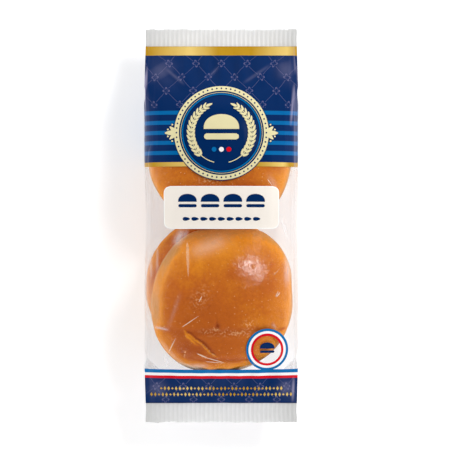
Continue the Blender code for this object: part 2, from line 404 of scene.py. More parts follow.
def navy_lattice():
    """Navy ink with a thin trellis and a small four-petalled flower at each crossing."""
    n = Nodes("print_navy")
    flat = n.flat()
    parts = n.add("SeparateXYZ", {0: flat})
    across = parts.outputs[0]
    along = n.math("SUBTRACT", parts.outputs[1], LATTICE_LEVEL - LATTICE_PITCH / 2)

    def from_line(value):
        wave = n.math("FRACT", n.math("DIVIDE", value, LATTICE_PITCH))
        return n.times(n.math("ABSOLUTE", n.math("SUBTRACT", wave, 0.5)), LATTICE_PITCH)

    first = from_line(n.plus(across, along))
    second = from_line(n.math("SUBTRACT", across, along))
    squares = n.plus(n.math("POWER", first, 2.0), n.math("POWER", second, 2.0))
    radius = n.math("SQRT", squares)
    rose = n.math("DIVIDE", n.times(n.times(first, second), 2.0), n.math("MAXIMUM", squares, 1e-9))
    petal = n.times(n.math("POWER", rose, 0.7), FLOWER_SIZE)
    inside = n.math("LESS_THAN", radius, petal)
    hollow = n.math("LESS_THAN", radius, n.times(petal, FLOWER_HOLE))
    flower = n.math("SUBTRACT", inside, hollow)
    line = n.math("LESS_THAN", n.math("MINIMUM", first, second), LATTICE_LINE / 2)
    clear = n.math("GREATER_THAN", radius, FLOWER_SIZE * 0.9)
    ink = n.math("MAXIMUM", n.times(n.times(line, clear), LATTICE_INK), n.times(flower, FLOWER_INK))
    high = n.math("GREATER_THAN", parts.outputs[1], LATTICE_LOW)
    low = n.math("LESS_THAN", parts.outputs[1], NAVY_FOOT_TOP)
    ink = n.times(ink, n.math("MAXIMUM", high, low))
    base = under_haze_and_glare(n, n.mixed(ink, NAVY, LILAC))
    values = {
        "Base Color": base,
        "Roughness": 0.30,
        "Specular IOR Level": INK_SPECULAR,
        "Normal": film_bump(n),
    }
    return n.principled(values)


def gold_band():
    """Gold ink printed as soft light and dark patches across the width."""
    n = Nodes("print_gold")
    flat = n.flat()
    across = n.add("SeparateXYZ", {0: flat}).outputs[0]
    place = n.plus(n.math("DIVIDE", across, PACK_WIDTH), 0.5, clamp=True)
    stops = [
        (0.02, GOLD_DARK),
        (0.30, GOLD_LIGHT),
        (0.48, GOLD_DARK),
        (0.70, GOLD_DARK),
        (0.93, GOLD_LIGHT),
        (1.0, GOLD_DARK),
    ]
    values = {
        "Base Color": under_haze_and_glare(n, n.ramp(place, stops)),
        "Roughness": 0.30,
        "Specular IOR Level": 0.06,
        "Normal": film_bump(n),
    }
    return n.principled(values)


SEAL_MILK = (0.88, 0.88, 0.875)
SEAL_MILK_LIGHT = (0.96, 0.96, 0.96)
SEAL_SHADE = (0.60, 0.60, 0.59)
SEAL_END_SHADE = 0.8
SEAL_RIB_SHADE = 0.22


def seal_plastic():
    """Milky film pressed in several layers, darker at its ends and along its ribs."""
    n = Nodes("seal_white")
    place = n.add("TexCoord").outputs["Object"]
    cloud = n.noise(place, 120.0, 3.0)
    base = n.mixed(cloud, SEAL_MILK, SEAL_MILK_LIGHT)
    across = n.add("SeparateXYZ", {0: place}).outputs[0]
    outward = n.math("DIVIDE", n.math("ABSOLUTE", across), SEAL_WIDTH / 2)
    ends = n.math("POWER", outward, 3.0, clamp=True)
    base = n.mixed(n.times(ends, SEAL_END_SHADE), base, SEAL_SHADE)
    ribs = n.math("SINE", n.times(across, 2 * math.pi * SEAL_RIBS / SEAL_WIDTH))
    base = n.mixed(n.times(ribs, SEAL_RIB_SHADE, clamp=True), base, SEAL_SHADE)
    normal = n.bump(n.noise(place, 900.0, 2.0), 0.15, 0.0004)
    values = {"Base Color": base, "Roughness": 0.35, "Specular IOR Level": 0.4, "Normal": normal}
    return n.principled(values)


CRUST_HEEL = (0.510, 0.225, 0.058)
CRUST_PALE = (0.600, 0.250, 0.044)
CRUST_GOLD = (0.830, 0.285, 0.014)
CRUST_AMBER = (0.560, 0.130, 0.011)
CRUST_BROWN = (0.400, 0.074, 0.010)
CRUST_SPECK = (0.860, 0.520, 0.220)
CRUST_FLAKE_HIGHLIGHT = (0.900, 0.520, 0.240)
SPECK_SCALE = 300.0
SPECK_SIZE = 0.13
CLOUD_SHARE = 0.28
MOTTLE_SHARE = 0.28


def crust():
    """Egg-washed crust: pale at the flank, amber on the dome, finely pored, glossy where polished, with
    pale flecks that are mostly painted highlights and, on the shown bun, painted shade and light in its
    tone.
    """
    n = Nodes("crust")
    place = n.add("TexCoord").outputs["Object"]
    # The crust's tone, with the shown bun's painted shade and light in it
    baked_and_shaded = n.attribute("baked_and_shaded")
    cloud = n.noise(place, 38.0, 4.0, 0.6)
    mottle = n.noise(place, 380.0, 4.0, 0.7)
    tone = n.plus(baked_and_shaded, n.times(n.math("SUBTRACT", cloud, 0.5), CLOUD_SHARE))
    tone = n.plus(tone, n.times(n.math("SUBTRACT", mottle, 0.5), MOTTLE_SHARE), clamp=True)
    base = n.ramp(
        tone,
        [
            (0.0, CRUST_HEEL),
            (0.24, CRUST_PALE),
            (0.44, CRUST_GOLD),
            (0.72, CRUST_AMBER),
            (1.0, CRUST_BROWN),
        ],
    )
    near = n.add("TexVoronoi", {"Vector": place, "Scale": SPECK_SCALE}).outputs["Distance"]
    speck = n.times(n.math("LESS_THAN", near, SPECK_SIZE), n.noise(place, 60.0, 1.0))
    base = n.mixed(n.times(speck, 0.75, clamp=True), base, CRUST_SPECK)
    # Pale flecks: mostly painted speckled highlights, partly paler torn crust
    flecks_and_highlights = n.attribute("flecks_and_highlights")
    flecks = n.times(n.math("SUBTRACT", n.noise(place, 620.0, 2.0), 0.50), 7.0, clamp=True)
    base = n.mixed(n.times(flecks, flecks_and_highlights, clamp=True), base, CRUST_FLAKE_HIGHLIGHT)
    pores = n.add("TexVoronoi", {"Vector": place, "Scale": 480.0}, feature="SMOOTH_F1").outputs["Distance"]
    skin = n.plus(n.noise(place, 520.0, 4.0, 0.65), n.times(pores, 0.6))
    glaze = n.noise(place, 1050.0, 1.5, 0.6)
    polish = n.attribute("polish")
    beads = n.times(n.math("SUBTRACT", n.noise(place, 900.0, 1.0), 0.44), 9.0, clamp=True)
    polish = n.times(polish, n.plus(n.times(beads, 0.85), 0.35))
    values = {
        "Base Color": base,
        "Roughness": n.plus(n.times(mottle, 0.16), 0.40),
        "Specular IOR Level": 0.06,
        "Coat Weight": n.plus(n.times(polish, 0.90), 0.05, clamp=True),
        "Coat Roughness": 0.08,
        "Coat IOR": 1.75,
        "Normal": n.bump(skin, 0.80, 0.0007),
        "Coat Normal": n.bump(glaze, 0.34, 0.0006),
    }
    return n.principled(values)


# The buns


BAKED_FROM = 0.13
BAKED_TO = 0.80
BAKED_RISE = 0.62
BAKED_LEAST = 0.06


def bun_profile(heel_rows, dome_rows):
    """(reach, height share, crust tone) down the rows from the heel's middle to the top of the dome."""
    rows = []
    for i in range(1, heel_rows + 1):
        rows.append((HEEL_SHARE * i / heel_rows, 0.0, 0.02 + 0.03 * i / heel_rows))
    waist = BUN_WAIST
    for j in range(1, dome_rows):
        rise = math.pi * (j / dome_rows - 0.5)
        if rise < 0:
            reach = mix(HEEL_SHARE, 1.0, math.cos(rise))
            height = waist * (1 + math.sin(rise))
        else:
            reach = math.cos(rise) ** DOME_FULLNESS
            height = waist + (1 - waist) * math.sin(rise)
        baked_and_shaded = float(smooth_step(BAKED_FROM, BAKED_TO, height)) * BAKED_RISE + BAKED_LEAST
        rows.append((reach, height, baked_and_shaded))
    return rows


def soft_limit(values, limit, softness, upper):
    """Values bent smoothly so that none passes the limit."""
    sign = 1.0 if upper else -1.0
    room = (limit - values) * sign / softness
    return limit - sign * softness * np.where(room > 30, room, np.log1p(np.exp(np.minimum(room, 30))))


def path_press(spots, path, width):
    """How near each plan spot is to a path: 1 on it, fading across it and towards both ends."""
    best = np.full(len(spots), 1e9)
    along = np.zeros(len(spots))
    steps = [Vector(b) - Vector(a) for a, b in zip(path, path[1:])]
    total = sum(step.length for step in steps)
    done = 0.0
    for start, step in zip(path, steps):
        offset = spots - np.array(start)
        line = np.array(step)
        share = np.clip(offset @ line / step.length_squared, 0, 1)
        away = np.linalg.norm(offset - share[:, None] * line, axis=1)
        nearer = away < best
        best = np.where(nearer, away, best)
        along = np.where(nearer, (done + share * step.length) / total, along)
        done += step.length
    return np.exp(-((best / width) ** 2)) * np.sin(math.pi * np.clip(along, 0.02, 0.98)) ** 0.5


def bun_row(x, y, layer, radius, seed, lean=0.0, waves=(), fine=1.0):
    """One bun: its centre, layer and mean radius, the seed of its crust, its lean about X in degrees, the
    waves of its outline as (count, share of the radius, phase in degrees), and its mesh's fineness."""
    return dict(x=x, y=y, layer=layer, radius=radius, seed=seed, lean=lean, waves=waves, fine=fine)


# The waves of the buns are those of the bag's source
SHOWN_WAVES = ((2, 0.042, 104), (3, 0.012, -102), (4, 0.019, -173))
BUN_SPECS = {
    "bun_low_head": bun_row(0.0010, 0.0530, 0, 0.0505, 11.3),
    "bun_low_foot": bun_row(-0.0028, -0.0448, 0, 0.0515, 23.7, waves=((2, 0.012, 270),)),
    "bun_top_head": bun_row(-0.0008, 0.0478, 1, 0.0508, 37.1),
    "bun_top_foot": bun_row(0.0010, -0.0520, 1, 0.0524, 51.9, lean=-3.0, waves=SHOWN_WAVES, fine=1.5),
}
SHOWN_BUN = "bun_top_foot"

# What the shown bun's outline adds to its form in the bag's source: angle, share of the radius and
# reach in degrees
SHOWN_SWELLS = [(278.0, 0.045, 27.0), (8.0, -0.032, 14.0)]
CONTACT_LOW = 0.0046
CONTACT_TOP = -0.0012
BUN_SIDES = 240
BUN_HEEL_ROWS = 14
BUN_DOME_ROWS = 130
OUTLINE_RIPPLE = 0.003
CRUST_SWELL = 0.0011
CRUST_LUMP = 0.00028
CRUST_GRAIN = 0.00012

# Marks in the crust of the shown bun, as paths in plan
FOLD_PATH = [
    (-0.0478, -0.0734),
    (-0.0320, -0.0748),
    (-0.0150, -0.0755),
    (0.0232, -0.0744),
    (0.0473, -0.0723),
]
TEAR_PATH = [
    (-0.0246, -0.0728),
    (-0.0210, -0.0764),
    (-0.0155, -0.0810),
    (-0.0093, -0.0859),
    (-0.0020, -0.0932),
]
TEAR_EDGE_PATH = [
    (-0.0252, -0.0735),
    (-0.0219, -0.0774),
    (-0.0164, -0.0820),
    (-0.0102, -0.0869),
    (-0.0016, -0.0948),
]
TEAR_FLAP_PATH = [
    (-0.0262, -0.0723),
    (-0.0248, -0.0761),
    (-0.0238, -0.0791),
    (-0.0213, -0.0817),
    (-0.0154, -0.0853),
]
TEAR_STRIP_PATH = [(-0.0252, -0.0742), (-0.0228, -0.0787), (-0.0172, -0.0833)]
RIM_PATH = [(-0.0323, -0.0150), (-0.0377, -0.0249), (-0.0424, -0.0362), (-0.0440, -0.0419)]
LOW_RIM_PATH = [(-0.0440, -0.0400), (-0.0452, -0.0568), (-0.0444, -0.0716)]
PIT = (0.0225, -0.0290)
POLISHED = (0.0208, -0.0300)
POLISH_REACH = (0.0105, 0.0115)
LIP_PATH = [
    (-0.0277, -0.0929),
    (-0.0202, -0.0944),
    (0.0058, -0.0955),
    (0.0170, -0.0948),
    (0.0300, -0.0915),
]
NICK_PATH = [(-0.0030, -0.0660), (-0.0024, -0.0706), (-0.0018, -0.0735)]
SHORT_PATH = [(-0.0292, -0.0869), (-0.0272, -0.0896), (-0.0247, -0.0921)]
RIGHT_PATH = [(0.0405, -0.0741), (0.0440, -0.0732), (0.0476, -0.0721)]
NAVEL = (-0.0023, -0.0706)
CRACKLE_MIDDLE = (-0.0151, -0.0518)
CRACKLE_REACH = (0.0110, 0.0130)

# Lines in the shown crust: path, reach across, depth (negative is raised), how much darker. The pressed
# lines are painted darker, painted shade in them; the raised tear edges are painted lighter, partly paler
# torn crust and partly a painted highlight; the strip between them is paler torn crust; the rims are
# painted lighter, partly the crust's paler flank and partly painted sheen of the film over it
CRUST_MARKS = [
    (FOLD_PATH, 0.0026, 0.0012, 0.12),
    (TEAR_PATH, 0.0009, 0.0012, 0.26),
    (TEAR_EDGE_PATH, 0.0007, -0.0009, -0.50),
    (TEAR_FLAP_PATH, 0.0008, -0.0006, -0.34),
    (TEAR_STRIP_PATH, 0.0018, 0.0, -0.18),
    (LIP_PATH, 0.0014, 0.0011, 0.20),
    (NICK_PATH, 0.0008, 0.0007, 0.12),
    (SHORT_PATH, 0.0009, 0.0007, 0.14),
    (RIGHT_PATH, 0.0010, 0.0013, 0.26),
    (RIM_PATH, 0.0036, 0.0, -0.30),
    (LOW_RIM_PATH, 0.0040, 0.0, -0.30),
]

# Soft patches of the shown crust: darker in the middle, partly its own tone and partly painted shade;
# darker at the right, painted shade where the key lamp lights it; lighter towards the head and along the
# foot, painted light where the label and the print shade it. Middle, reach along X and Y, how much darker
SHADE_AND_TONE_SPOTS = [
    ((-0.004, -0.064), (0.032, 0.019), 0.14),
    ((-0.022, -0.088), (0.012, 0.008), 0.24),
    ((0.002, -0.014), (0.046, 0.018), -0.28),
    ((0.000, -0.003), (0.040, 0.006), -0.30),
    ((0.028, -0.020), (0.020, 0.016), 0.18),
    ((0.004, -0.101), (0.030, 0.0050), -0.06),
]
BELOW_FOLD = 0.0034
BELOW_FOLD_REACH = 0.0022
BELOW_FOLD_RISE = 0.0006
SHOWN_FROM = (0.050, 0.058)
TOP_FROM = (0.060, 0.066)

# Where the crust is painted with pale flecks, mostly painted speckled highlights on the crackle, along the
# fold, at the lower right, on the head bun and by the navel, and partly paler torn crust and partly
# painted highlight at the nick and along the tear's edge: path, reach across, strength
FLECK_AND_HIGHLIGHT_PATHS = [
    ([(-0.0200, -0.0590), (-0.0100, -0.0430)], 0.0052, 0.42),
    ([(-0.0150, -0.0750), (-0.0023, -0.0756)], 0.0024, 0.45),
    ([(-0.0016, -0.0757), (0.0215, -0.0765)], 0.0026, 0.60),
    ([(0.0168, -0.0715), (0.0230, -0.0675)], 0.0032, 0.70),
    ([(-0.0160, 0.0330), (-0.0010, 0.0295)], 0.0030, 0.60),
    ([(-0.0253, -0.0886), (-0.0261, -0.0928)], 0.0008, 1.60),
    ([(-0.0058, -0.0716), (-0.0022, -0.0737)], 0.0008, 1.40),
    (TEAR_EDGE_PATH[2:], 0.0005, 0.80),
]


def bun_points(spec):
    """The bun's surface points in rows, with the tone of the crust at each, in the bag's frame."""
    heel_rows, dome_rows, sides = bun_fineness(spec)
    rows = bun_profile(heel_rows, dome_rows)
    angles = np.linspace(0, 2 * math.pi, sides, endpoint=False)
    seed = spec["seed"]
    outline = 1 + OUTLINE_RIPPLE * np.cos(5 * angles + 3 * seed)
    for count, size, phase in spec["waves"]:
        outline += size * np.cos(count * angles - math.radians(phase))
    if spec is BUN_SPECS[SHOWN_BUN]:
        for middle, size, reach in SHOWN_SWELLS:
            turn = (np.degrees(angles) - middle + 180) % 360 - 180
            outline += size * np.exp(-((turn / reach) ** 2))
    reach = spec["radius"] * np.array([r for r, _, _ in rows])[:, None] * outline[None, :]
    x = reach * np.cos(angles)[None, :]
    y = reach * np.sin(angles)[None, :]
    z = np.repeat(np.array([h for _, h, _ in rows])[:, None] * BUN_HEIGHT, sides, axis=1)
    baked_and_shaded = np.repeat(np.array([b for _, _, b in rows])[:, None], sides, axis=1)
    points = np.stack([x, y, z], axis=-1).reshape(-1, 3)
    baked_and_shaded = baked_and_shaded.reshape(-1)
    heel = np.array([[0.0, 0.0, 0.0]])
    crown = np.array([[0.0, 0.0, BUN_HEIGHT]])
    points = np.vstack([heel, points, crown])
    baked_and_shaded = np.concatenate([[0.02], baked_and_shaded, [0.68]])

    # Uneven crust: broad swells on the dome, smaller ones all over
    centre = np.array([0, 0, BUN_WAIST * BUN_HEIGHT])
    out = (points - centre) / np.array([spec["radius"], spec["radius"], BUN_HEIGHT * 0.62])
    out /= np.maximum(np.linalg.norm(out, axis=1), 1e-9)[:, None]
    up = smooth_step(0.0, 0.012, points[:, 2])
    broad = perlin(points, (34, 34, 34), (seed, seed * 1.7, 3.1))
    middle = perlin(points, (110, 110, 110), (seed * 2.3, 5.0, seed))
    small = perlin(points, (330, 330, 330), (seed, 2.0, seed * 1.3))
    lift = CRUST_SWELL * broad + CRUST_LUMP * middle + CRUST_GRAIN * small
    points = points + out * (lift * up)[:, None]
    baked_and_shaded = baked_and_shaded + (0.13 * perlin(points, (26, 26, 26), (7.7, seed, 1.0)) + 0.05 * middle) * up

    # The lean, then the place in the bag
    turn = np.array(Matrix.Rotation(math.radians(spec["lean"]), 3, "X"))
    points = points @ turn.T + np.array([spec["x"], spec["y"], spec["layer"] * LAYER_RISE])

    # Pressed against its neighbour, and flattened under the bun above
    head = spec["y"] > 0
    plane = CONTACT_TOP if spec["layer"] else CONTACT_LOW
    near = plane + BUN_SQUASH_GAP if head else plane - BUN_SQUASH_GAP
    points[:, 1] = soft_limit(points[:, 1], near, 0.0014, not head)
    if spec["layer"] == 0:
        above = BUN_SPECS["bun_top_head" if head else SHOWN_BUN]
        heel_plane = LAYER_RISE + (points[:, 1] - above["y"]) * math.tan(math.radians(above["lean"]))
        points[:, 2] = soft_limit(points[:, 2], heel_plane - BUN_SQUASH_GAP, 0.0012, True)
        points[:, 2] = np.maximum(points[:, 2], HEEL_LEVEL)
    return points, baked_and_shaded


def bun_fineness(spec):
    """How many heel rows, dome rows and sides the bun's mesh has."""
    return tuple(round(count * spec["fine"]) for count in (BUN_HEEL_ROWS, BUN_DOME_ROWS, BUN_SIDES))


def spot_glow(spots, middle, reach):
    """A soft spot in plan: 1 at the middle, fading over the reach along X and Y."""
    away = (spots - np.array(middle)) / np.array(reach)
    return np.exp(-(away[:, 0] ** 2) - away[:, 1] ** 2)


def mark_shown_bun(points, baked_and_shaded):
    """Presses the lines, the pit, the navel and the crackle into the shown bun's crust, and tones it,
    with painted shade in its hollows and painted light and shade in soft patches.
    """
    shown = smooth_step(*SHOWN_FROM, points[:, 2])
    ragged = perlin(points, (160, 160, 160), (2.0, 8.0, 4.0)) * 0.0010
    ragged += perlin(points, (520, 520, 520), (6.0, 1.0, 4.0)) * 0.0004
    spots = points[:, :2] + ragged[:, None]
    above = spots + np.array([0.0, BELOW_FOLD])
    depth = -BELOW_FOLD_RISE * path_press(above, FOLD_PATH, BELOW_FOLD_REACH)
    darker = np.zeros(len(points))
    # Pressed lines get painted shade; tear edges and rims are painted lighter, partly paler crust and
    # partly painted highlight and sheen
    for path, reach, deep, dark in CRUST_MARKS:
        press = path_press(spots, path, reach)
        depth += deep * press
        darker += dark * press
    # Painted shade and light in soft patches, with some of the crust's own tone
    for middle, reach, dark in SHADE_AND_TONE_SPOTS:
        darker += dark * spot_glow(spots, middle, reach)
    pit_ring = np.linalg.norm(spots - np.array(PIT), axis=1)
    pit = np.exp(-((pit_ring / 0.0010) ** 2))
    ring = np.linalg.norm(spots - np.array(NAVEL), axis=1)
    navel = np.exp(-((ring / 0.0016) ** 2)) - 0.5 * np.exp(-(((ring - 0.0034) / 0.0014) ** 2))
    cracks = np.abs(perlin(points, (420, 420, 420), (9.0, 3.0, 1.0)))
    crackle = spot_glow(spots, CRACKLE_MIDDLE, CRACKLE_REACH) * cracks
    # The navel and the crackle's cracks are painted darker, painted shade in these hollows; the pit is
    # painted paler
    depth += 0.0010 * navel + 0.0006 * crackle - 0.0004 * pit
    darker += 0.16 * np.maximum(navel, 0) + 0.30 * crackle - 0.12 * pit
    points[:, 2] -= depth * shown
    baked_and_shaded += shown * darker
    return points, baked_and_shaded


def make_bun(name, spec, material):
    points, baked_and_shaded = bun_points(spec)
    if name == SHOWN_BUN:
        points, baked_and_shaded = mark_shown_bun(points, baked_and_shaded)
    heel_rows, dome_rows, sides = bun_fineness(spec)
    rows = heel_rows + dome_rows - 1
    faces = [tuple(k + 1 for k in face) for face in grid_faces(rows, sides, closed=True)]
    last = len(points) - 1
    base = 1 + (rows - 1) * sides
    for j in range(sides):
        after = (j + 1) % sides
        faces.append((0, 1 + after, 1 + j))
        faces.append((base + j, base + after, last))
    bun = new_object(name, points, faces, [material])
    # The crust's tone as painted, with the shown bun's painted shade and light in it
    paint(bun, "baked_and_shaded", np.clip(baked_and_shaded, 0, 1))
    spots = points[:, :2]
    top = smooth_step(*TOP_FROM, points[:, 2])
    # Pale flecks, mostly painted speckled highlights
    flecks_and_highlights = sum(much * path_press(spots, path, reach) for path, reach, much in FLECK_AND_HIGHLIGHT_PATHS)
    paint(bun, "flecks_and_highlights", flecks_and_highlights * top)
    paint(bun, "polish", spot_glow(spots, POLISHED, POLISH_REACH) * top)
    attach(bun, BODY)
    return bun


# The film


def fields():
    """The printed fields from the foot to the head: (start, end, material name)."""
    rows = [
        (FOOT_LINE, NAVY_FOOT_TOP, "print_navy"),
        (NAVY_FOOT_TOP, RED_TOP, "print_red"),
        (RED_TOP, WHITE_TOP, "print_white"),
        (WHITE_TOP, BLUE_TOP, "print_blue"),
        (BLUE_TOP, CLEAR_TOP, "film_clear"),
        (CLEAR_TOP, GOLD_LINE_TOP, "print_gold"),
    ]
    place = GOLD_LINE_TOP
    for k in range(-2, 3):
        start = STRIPE_MIDDLE + k * STRIPE_PITCH - STRIPE_WIDTH / 2
        rows.append((place, start, "print_navy"))
        rows.append((start, start + STRIPE_WIDTH, "print_sky"))
        place = start + STRIPE_WIDTH
    rows.append((place, NAVY_HEAD_TOP, "print_navy"))
    rows.append((NAVY_HEAD_TOP, HEAD_LINE, "print_gold"))
    return rows


def stations():
    """Where the film's rows lie along Y, and the material name of the strip after each but the last."""
    places = [FOOT_LINE]
    names = []
    for start, end, name in fields():
        count = max(1, round((end - start) / FILM_STEP))
        for i in range(1, count + 1):
            places.append(mix(start, end, i / count))
            names.append(name)
    return np.array(places), names


def field_at(y):
    """The material name of the printed field that a place along Y lies in."""
    for start, end, name in fields():
        if y < end:
            return name
    return fields()[-1][2]


def end_share(y):
    line = np.where(y > 0, HEAD_LINE, -FOOT_LINE)
    return np.clip((np.abs(y) - WALL_HALF_LENGTH) / (line - WALL_HALF_LENGTH), 0.0, 1.0)


def half_width(y):
    return mix(PACK_WIDTH, SEAL_WIDTH, end_share(y)) / 2


def fold_level(y, upper):
    body = WALL_HIGH if upper else WALL_LOW
    seal = SEAL_LEVEL + (END_HALF_THICKNESS if upper else -END_HALF_THICKNESS)
    return mix(body, seal, end_share(y))


def skin_points():
    """Corners of the side walls and of the end edges that the film is stretched to."""
    corners = []
    for side in (-1, 1):
        for end in (-1, 1):
            for level in (WALL_LOW, WALL_HIGH):
                corners.append((side * PACK_WIDTH / 2, end * WALL_HALF_LENGTH, level))
        for line in (FOOT_LINE, HEAD_LINE):
            for step in (-1, 1):
                corners.append((side * SEAL_WIDTH / 2, line, SEAL_LEVEL + step * END_HALF_THICKNESS))
    return corners


def taut_skin(buns):
    """The convex skin round the buns and the frame of the bag, ready for ray casting."""
    mesh = bmesh.new()
    for bun in buns:
        for k in range(0, len(bun.data.vertices), HULL_STRIDE):
            mesh.verts.new(bun.data.vertices[k].co)
    for corner in skin_points():
        mesh.verts.new(corner)
    found = bmesh.ops.convex_hull(mesh, input=mesh.verts)
    unused = [g for g in found["geom_interior"] if isinstance(g, bmesh.types.BMVert)]
    bmesh.ops.delete(mesh, geom=unused, context="VERTS")
    tree = BVHTree.FromBMesh(mesh)
    mesh.free()
    return tree


def surface_tree(objects):
    """One ray-casting tree of several meshes."""
    verts = []
    faces = []
    for obj in objects:
        base = len(verts)
        verts.extend(v.co.copy() for v in obj.data.vertices)
        faces.extend(tuple(base + k for k in p.vertices) for p in obj.data.polygons)
    return BVHTree.FromPolygons(verts, faces)


def cast(tree, x, y, upper):
    """(point, normal) where a plumb line through a plan spot meets the surface, or (None, None)."""
    start = 1.0 if upper else -1.0
    hit = tree.ray_cast(Vector((x, y, start)), Vector((0, 0, -start)))
    return hit[0], hit[1]


def height_map(tree, xs, ys, upper, missing):
    """Heights of a surface over the grid of plan spots, or the missing value where it isn't met."""
    out = np.empty(xs.shape)
    for i in range(xs.shape[0]):
        for j in range(xs.shape[1]):
            point, _ = cast(tree, xs[i, j], ys[i, j], upper)
            out[i, j] = missing[i, j] if point is None else point.z
    return out


def blurred(grid, rounds):
    """Averages the inner part of a grid of heights with its neighbours."""
    grid = grid.copy()
    for _ in range(rounds):
        beside = grid[1:-1, :-2] + grid[1:-1, 2:] + grid[:-2, 1:-1] + grid[2:, 1:-1]
        grid[1:-1, 1:-1] = 0.5 * grid[1:-1, 1:-1] + 0.125 * beside
    return grid


def pleats(x, y):
    """The broad pleats of the bag's source, with finer ones beside each seal."""
    share = end_share(y)
    across = x / (SEAL_WIDTH / 2)
    turn = np.where(y > 0, 0.8, 2.1)
    broad = PLEAT_DEPTH * np.sin(math.pi * share) ** 2
    broad = broad * np.sin(PLEAT_COUNT * math.pi * across + 1.3 * np.sin(3.1 * across) + turn)
    near = share**2 * (1 - share) * 4
    fine = 0.0007 * near * np.sin(23 * across + 2.2 * np.sin(5.3 * across + turn))
    fine += 0.0004 * near * np.sin(47 * across + 3.0 * np.sin(4.1 * across + 2 * turn))
    return (broad + fine) * (1 - across**4)


def crease(x, y, start, end, width, depth=CREASE_DEPTH):
    """A V-shaped valley along a straight line, or a ridge where the depth is negative."""
    along = np.array(end) - np.array(start)
    length = np.hypot(*along)
    share = ((x - start[0]) * along[0] + (y - start[1]) * along[1]) / length**2
    away = np.abs((x - start[0]) * along[1] - (y - start[1]) * along[0]) / length
    inside = (share > 0) & (share < 1)
    across = np.maximum(0.0, 1 - away / width)
    fade = np.sin(math.pi * np.clip(share, 0, 1))
    return np.where(inside, -depth * across * fade, 0.0)


# Sharp little folds in the film of the shown side, whitened and painted as glints: start, end, width of
# the whitened line
BRIGHT_CREASES = [
    ((-0.0277, -0.0716), (-0.0157, -0.0635), 0.0005),
    ((-0.0374, -0.0900), (-0.0321, -0.0794), 0.0006),
    ((-0.0170, -0.0904), (-0.0085, -0.0941), 0.0008),
    ((-0.0100, -0.0935), (0.0023, -0.0970), 0.0006),
    ((-0.0110, -0.0961), (0.0018, -0.0972), 0.0004),
    ((0.0385, -0.0501), (0.0404, -0.0463), 0.0005),
    ((0.0392, -0.0503), (0.0417, -0.0470), 0.0006),
    ((-0.0136, -0.0497), (-0.0157, -0.0539), 0.0006),
    ((0.0327, 0.0332), (0.0364, 0.0280), 0.0004),
]
# Fainter folds, whitened and painted as glints; the last two lie along the shown bun's foot edge as
# painted light over its shade
FAINT_CREASES = [
    ((-0.0239, -0.0116), (-0.0232, -0.0360), 0.0020),
    ((0.0369, -0.0350), (0.0415, -0.0304), 0.0006),
    ((-0.0310, -0.0970), (-0.0150, -0.1017), 0.0020),
    ((0.0120, -0.1017), (0.0262, -0.0976), 0.0018),
]
CREASE_RIDGE = 0.00025
CREASE_RIDGE_WIDTH = 0.0014

# Hazy patches and lilac folds of the film, partly its own haze, partly painted glare and reflections, and
# beside the label and along the shown bun's foot edge painted light over shade: path, reach across,
# strength
MISTS_AND_GLARES = [
    ([(-0.0214, -0.0192), (0.0034, -0.0100)], 0.0050, 0.16),
    (RIM_PATH, 0.0034, 0.04),
    (LOW_RIM_PATH, 0.0030, 0.05),
    ([(-0.0440, -0.0801), (-0.0380, -0.0880), (-0.0316, -0.0951), (-0.0242, -0.0999)], 0.0016, 0.16),
    ([(-0.0235, -0.0998), (-0.0100, -0.0996)], 0.0016, 0.26),
    ([(0.0466, -0.0220), (0.0474, -0.0310), (0.0468, -0.0410)], 0.0024, 0.26),
    ([(0.0335, 0.0360), (0.0405, 0.0230)], 0.0022, 0.12),
    ([(-0.0325, -0.0135), (-0.0272, -0.0030)], 0.0026, 0.36),
    ([(-0.0262, -0.0082), (-0.0238, -0.0030)], 0.0011, 0.18),
    ([(-0.0478, -0.0718), (-0.0374, -0.0737)], 0.0008, 0.40),
    ([(-0.0374, -0.0719), (-0.0290, -0.0480)], 0.0013, 0.08),
    ([(-0.0407, -0.0920), (-0.0377, -0.1002)], 0.0009, 0.40),
    ([(-0.0502, -0.0225), (-0.0500, -0.0370)], 0.0008, 0.22),
    ([(-0.0453, -0.0133), (-0.0454, -0.0340)], 0.0008, 0.20),
    ([(0.0364, -0.0691), (0.0386, -0.0727)], 0.0009, 0.20),
    ([(0.0424, 0.0071), (0.0476, -0.0100)], 0.0009, 0.30),
    ([(-0.0460, 0.1160), (-0.0400, 0.1060)], 0.0080, 0.20),
    ([(0.0440, 0.1180), (0.0480, 0.1060)], 0.0060, 0.20),
    ([(-0.0480, -0.1120), (-0.0430, -0.1220)], 0.0060, 0.22),
    ([(0.0450, -0.1110), (0.0480, -0.1220)], 0.0050, 0.24),
    ([(-0.0390, 0.1120), (-0.0268, 0.1012)], 0.0010, 0.20),
    ([(0.0162, 0.1020), (0.0347, 0.1150)], 0.0010, 0.18),
    ([(-0.0083, 0.1066), (-0.0022, 0.1135)], 0.0010, 0.16),
    ([(0.0496, 0.0720), (0.0522, 0.1010)], 0.0008, 0.80),
    ([(0.0519, -0.1090), (0.0514, -0.1270)], 0.0008, 0.90),
]
# Painted highlight streaks down the film's flanks
STREAK_FROM = 0.0455
STREAK_FULL = 0.0535
STREAK_HIGHLIGHT = 0.08
# Pale band on the printed fold edges: partly whitened film, partly a painted highlight
FOLD_WHITE_FROM = 0.0518
FOLD_WHITE_FULL = 0.0536
FOLD_WHITE_HIGHLIGHT = 1.0


